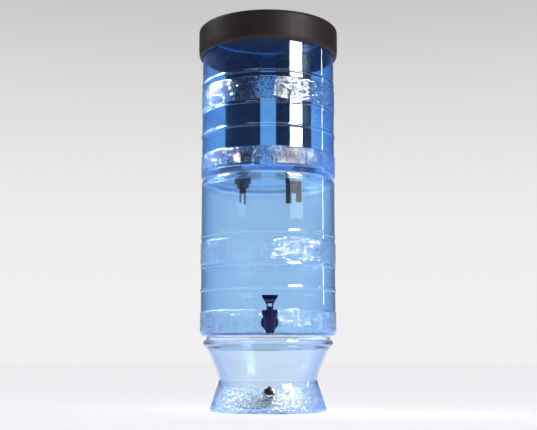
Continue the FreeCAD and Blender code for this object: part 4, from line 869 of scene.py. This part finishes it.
def plain_copy(source, name, body, slot, *nodes):
    """A plain mesh of what the modifiers make. It rides on the body and stands for the nodes."""
    view = bpy.context.evaluated_depsgraph_get()
    mesh = bpy.data.meshes.new_from_object(source.evaluated_get(view), depsgraph=view)
    mesh.name = name
    piece = add_object(name, mesh)
    bpy.data.objects.remove(source)
    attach(piece, body)
    if nodes:
        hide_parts(*nodes)
    mesh.calc_loop_triangles()
    print(name, len(mesh.loop_triangles), "triangles")
    return piece


def linked_piece(name, points, faces):
    mesh = bpy.data.meshes.new(name)
    mesh.from_pydata(points, [], faces)
    return add_object(name, mesh)


def prism_faces(count):
    """The faces between two rings with this many corners each, and both ends."""
    sides = [(i, (i + 1) % count, count + (i + 1) % count, count + i) for i in range(count)]
    return sides + [tuple(reversed(range(count))), tuple(range(count, 2 * count))]


def drill(piece, radius, start, direction, length):
    """Cuts a round hole through the piece."""
    count, side = 48, Vector(direction).orthogonal().normalized()
    other = Vector(direction).cross(side)
    ends = []
    for along in (0.0, length):
        centre = Vector(start) + Vector(direction) * along
        ends.append([centre + side * radius * math.cos(math.tau * i / count)
                     + other * radius * math.sin(math.tau * i / count) for i in range(count)])
    cutter = linked_piece("drill", [*ends[0], *ends[1]], prism_faces(count))
    cutter.hide_render = True
    cut = piece.modifiers.new("hole", "BOOLEAN")
    cut.operation, cut.solver, cut.object = "DIFFERENCE", "EXACT", cutter
    return cutter


# %% Turning both chambers
CORNER_REACH = 6 * MM
LOWER_FLOOR_LIFT = 1 * MM
UPPER_FLOOR_LIFT = 6 * MM
STEM_HOLE_RADIUS = 6.5 * MM
SHANK_HOLE_RADIUS = 8 * MM
STACK_TURN = math.radians(-5.5)
HALF_SPACING = 45.5 * MM


def turned_chamber(name, floor_lift, seat, turn, finish, body, slot, holes):
    outline = chamber_outline(floor_lift)
    mesh = bpy.data.meshes.new(name + "_outline")
    mesh.from_pydata([(radius - PATH_RADIUS, -height, 0.0) for radius, height in outline],
                     [(i, i + 1) for i in range(len(outline) - 1)], [])
    source = add_object(name + "_outline", mesh)
    mould = source.modifiers.new("mould", "NODES")
    mould.node_group = chamber_mould
    set_inputs(mould, Low_band_from=LOW_BAND[0] - CORNER_REACH, Low_band_to=LOW_BAND[1],
               High_band_from=HIGH_BAND[0], High_band_to=HIGH_BAND[1], Seat_height=seat, Turn=turn,
               Finish=finish)
    cutters = [drill(source, *hole) for hole in holes]
    even = source.modifiers.new("even_normals", "WEIGHTED_NORMAL")
    even.mode, even.weight = "FACE_AREA", 80
    piece = plain_copy(source, name + "_wall", body, slot, name)
    for cutter in cutters:
        bpy.data.objects.remove(cutter)
    return piece


stem_holes = []
for side in (1, -1):
    out = side * HALF_SPACING
    at = (out * math.cos(STACK_TURN), out * math.sin(STACK_TURN), upper_seat)
    stem_holes.append((STEM_HOLE_RADIUS, at, (0.0, 0.0, 1.0), 20 * MM))
shank_start = (0.0, -130 * MM, lower_seat + PAD_HEIGHT)
shank_hole = [(SHANK_HOLE_RADIUS, shank_start, (0.0, 1.0, 0.0), 30 * MM)]
lower_wall = turned_chamber("lower_chamber", LOWER_FLOOR_LIFT, lower_seat, 0.0,
                            finishes["clear_blue_plastic"], "lower_vessel", "clear_blue_plastic", shank_hole)
upper_wall = turned_chamber("upper_chamber", UPPER_FLOOR_LIFT, upper_seat, STACK_TURN, shaded_upper_finish,
                            "upper_vessel", "clear_blue_plastic", stem_holes)

# %% [markdown]
# Seven screws hold the bottom cover and the light case, and a thread runs along each stem and along the
# tap's shank. Each screw could be modelled by itself, but one with a cross in its head is enough: a tree
# puts a copy of it at each step round a circle. A thread is a small square profile that follows a spiral,
# half sunk into its rod.

# %% One screw
SCREW_RADIUS = 1.5 * MM
HEAD_RADIUS = 3 * MM
HEAD_HEIGHT = 1.6 * MM
HEAD_EDGE = 0.35 * MM
CROSS_REACH = 1.9 * MM
CROSS_HALF = 0.4 * MM
CROSS_DEPTH = 1.0 * MM


def lathe(name, outline, columns=32):
    """A closed round mesh from (radius, height) points, upwards. The first and the last are on the axis."""
    points = [(0.0, 0.0, outline[0][1])]
    for radius, height in outline[1:-1]:
        turns = [math.tau * i / columns for i in range(columns)]
        points += [(radius * math.cos(turn), radius * math.sin(turn), height) for turn in turns]
    points.append((0.0, 0.0, outline[-1][1]))
    faces = []
    for i in range(columns):
        after = (i + 1) % columns
        faces.append((0, 1 + after, 1 + i))
        for ring in range(1, len(points) - 1 - columns, columns):
            faces.append((ring + i, ring + after, ring + columns + after, ring + columns + i))
        faces.append((len(points) - 1 - columns + i, len(points) - 1 - columns + after, len(points) - 1))
    return linked_piece(name, points, faces)


def cross_cutter():
    reach, half = CROSS_REACH, CROSS_HALF
    quarter = [(half, half), (half, reach), (-half, reach)]
    outline = []
    for turn in range(4):
        cosine, sine = round(math.cos(math.pi / 2 * turn)), round(math.sin(math.pi / 2 * turn))
        outline += [(x * cosine - y * sine, x * sine + y * cosine) for x, y in quarter]
    points = [(x, y, z) for z in (-CROSS_DEPTH, CROSS_DEPTH) for x, y in outline]
    return linked_piece("cross_cutter", points, prism_faces(len(outline)))


def one_screw(name, length):
    """A screw with its head down. The head's face lies at height 0."""
    screw = lathe(name, [
        (0.0, 0.0), (HEAD_RADIUS - HEAD_EDGE, 0.0), (HEAD_RADIUS - 0.3 * HEAD_EDGE, 0.3 * HEAD_EDGE),
        (HEAD_RADIUS, HEAD_EDGE), (HEAD_RADIUS, HEAD_HEIGHT), (SCREW_RADIUS, HEAD_HEIGHT),
        (SCREW_RADIUS, length - SCREW_RADIUS), (0.4 * SCREW_RADIUS, length), (0.0, length)])
    cut = screw.modifiers.new("cross", "BOOLEAN")
    cut.operation, cut.solver, cut.object = "DIFFERENCE", "EXACT", cross_cutter()
    return screw


# %% Screws round a circle
def build_screw_ring():
    tree, given = geometry_tree("screws_round_a_circle", [
        ("Count", 4), ("Circle radius", 89 * MM), ("Height", 0.0)])
    circle = add_node(tree, "GeometryNodeMeshCircle")
    tree.links.new(given["Count"], circle.inputs["Vertices"])
    tree.links.new(given["Circle radius"], circle.inputs["Radius"])
    copies = joined(tree, "GeometryNodeInstanceOnPoints", circle.outputs[0], "Points")
    tree.links.new(given["Geometry"], copies.inputs["Instance"])
    turn = add_node(tree, "FunctionNodeRandomValue", data_type="FLOAT")
    for socket in turn.inputs:
        if socket.enabled and socket.name in ("Max", "Seed"):
            socket.default_value = math.tau if socket.name == "Max" else 7
    tree.links.new(combine(tree, 0.0, 0.0, turn.outputs[1]), copies.inputs["Rotation"])
    raised = joined(tree, "GeometryNodeTransform", copies.outputs[0])
    tree.links.new(combine(tree, 0.0, 0.0, given["Height"]), raised.inputs["Translation"])
    end_tree(tree, raised.outputs[0], given["Finish"])
    return tree


screw_ring = build_screw_ring()
for node_name, count in (("cover_screws", 4), ("light_case_screws", 3)):
    low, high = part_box(node_name)
    source = one_screw(node_name + "_one", high.z - low.z)
    ring = source.modifiers.new("ring", "NODES")
    ring.node_group = screw_ring
    set_inputs(ring, Count=count, Circle_radius=high.x - HEAD_RADIUS, Height=low.z,
               Finish=finishes["screw_steel"])
    plain_copy(source, node_name + "_crossed", "stand", "screw_steel", node_name)
    bpy.data.objects.remove(bpy.data.objects["cross_cutter"])

# %% Threads
SPIRAL_STEPS = 40
STEM_RADIUS = 6 * MM
STEM_TURNS = 12.0
SHANK_RADIUS = 7.5 * MM
SHANK_TURNS = 9.0
SHANK_THREAD_LENGTH = 19 * MM


def build_thread():
    tree, given = geometry_tree("thread", [("Turns", 10.0), ("Radius", 6 * MM), ("Pitch", 2 * MM),
                                           ("Proud", 0.35 * MM), ("Lean", 0.0)])
    spiral = add_node(tree, "GeometryNodeCurveSpiral", Resolution=SPIRAL_STEPS)
    tree.links.new(given["Turns"], spiral.inputs["Rotations"])
    tree.links.new(given["Radius"], spiral.inputs["Start Radius"])
    tree.links.new(given["Radius"], spiral.inputs["End Radius"])
    tree.links.new(maths(tree, "MULTIPLY", given["Turns"], given["Pitch"]), spiral.inputs["Height"])
    profile = add_node(tree, "GeometryNodeCurvePrimitiveCircle", Resolution=4)
    tree.links.new(given["Proud"], profile.inputs["Radius"])
    ridge = joined(tree, "GeometryNodeCurveToMesh", spiral.outputs[0], "Curve")
    tree.links.new(profile.outputs[0], ridge.inputs["Profile Curve"])
    ridge.inputs["Fill Caps"].default_value = True
    copies = joined(tree, "GeometryNodeInstanceOnPoints", given["Geometry"], "Points")
    tree.links.new(ridge.outputs[0], copies.inputs["Instance"])
    tree.links.new(combine(tree, given["Lean"], 0.0, 0.0), copies.inputs["Rotation"])
    end_tree(tree, copies.outputs[0], given["Finish"])
    return tree


thread = build_thread()
stem_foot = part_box("left_element_base")[0].z
stem_places = [(x, y, stem_foot + 1 * MM) for _, (x, y, _), _, _ in stem_holes]
shank_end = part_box("tap_body")[1].y
shank_place = (0.0, shank_end - SHANK_THREAD_LENGTH, lower_seat + PAD_HEIGHT)
for name, places, radius, turns, lean, body, slot in (
        ("stem_threads", stem_places, STEM_RADIUS, STEM_TURNS, 0.0, "upper_vessel", "black_plastic"),
        ("shank_thread", [shank_place], SHANK_RADIUS, SHANK_TURNS, -math.pi / 2, "lower_vessel", "tap_blue")):
    source = linked_piece(name + "_places", places, [])
    helix = source.modifiers.new("helix", "NODES")
    helix.node_group = thread
    set_inputs(helix, Turns=turns, Radius=radius, Lean=lean, Finish=finishes[slot])
    plain_copy(source, name, body, slot)

# %% [markdown]
# The cards are linked to the collection of glossy pieces, so now that all walls are made, the pieces that
# mirror them go into it.

# %% What mirrors the cards
GLOSSY_NODES = ("stand_shell", "bottom_cover", "tap_body", "tap_bonnet", "tap_lever", "switch_bezel",
                "push_button")
for shiny in (lower_wall, upper_wall, *(frame["nodes"][name] for name in GLOSSY_NODES)):
    glossy_pieces.objects.link(shiny)

# %% [markdown]
# A ray crosses many walls of clear plastic, so it may bend and mirror more often than usual.

# %% View and bounces
MOST_BOUNCES = 32
bpy.context.scene.view_settings.view_transform = "Standard"
light_path = bpy.context.scene.cycles
light_path.max_bounces = MOST_BOUNCES
light_path.transmission_bounces = MOST_BOUNCES
light_path.glossy_bounces = MOST_BOUNCES // 2
light_path.transparent_max_bounces = MOST_BOUNCES
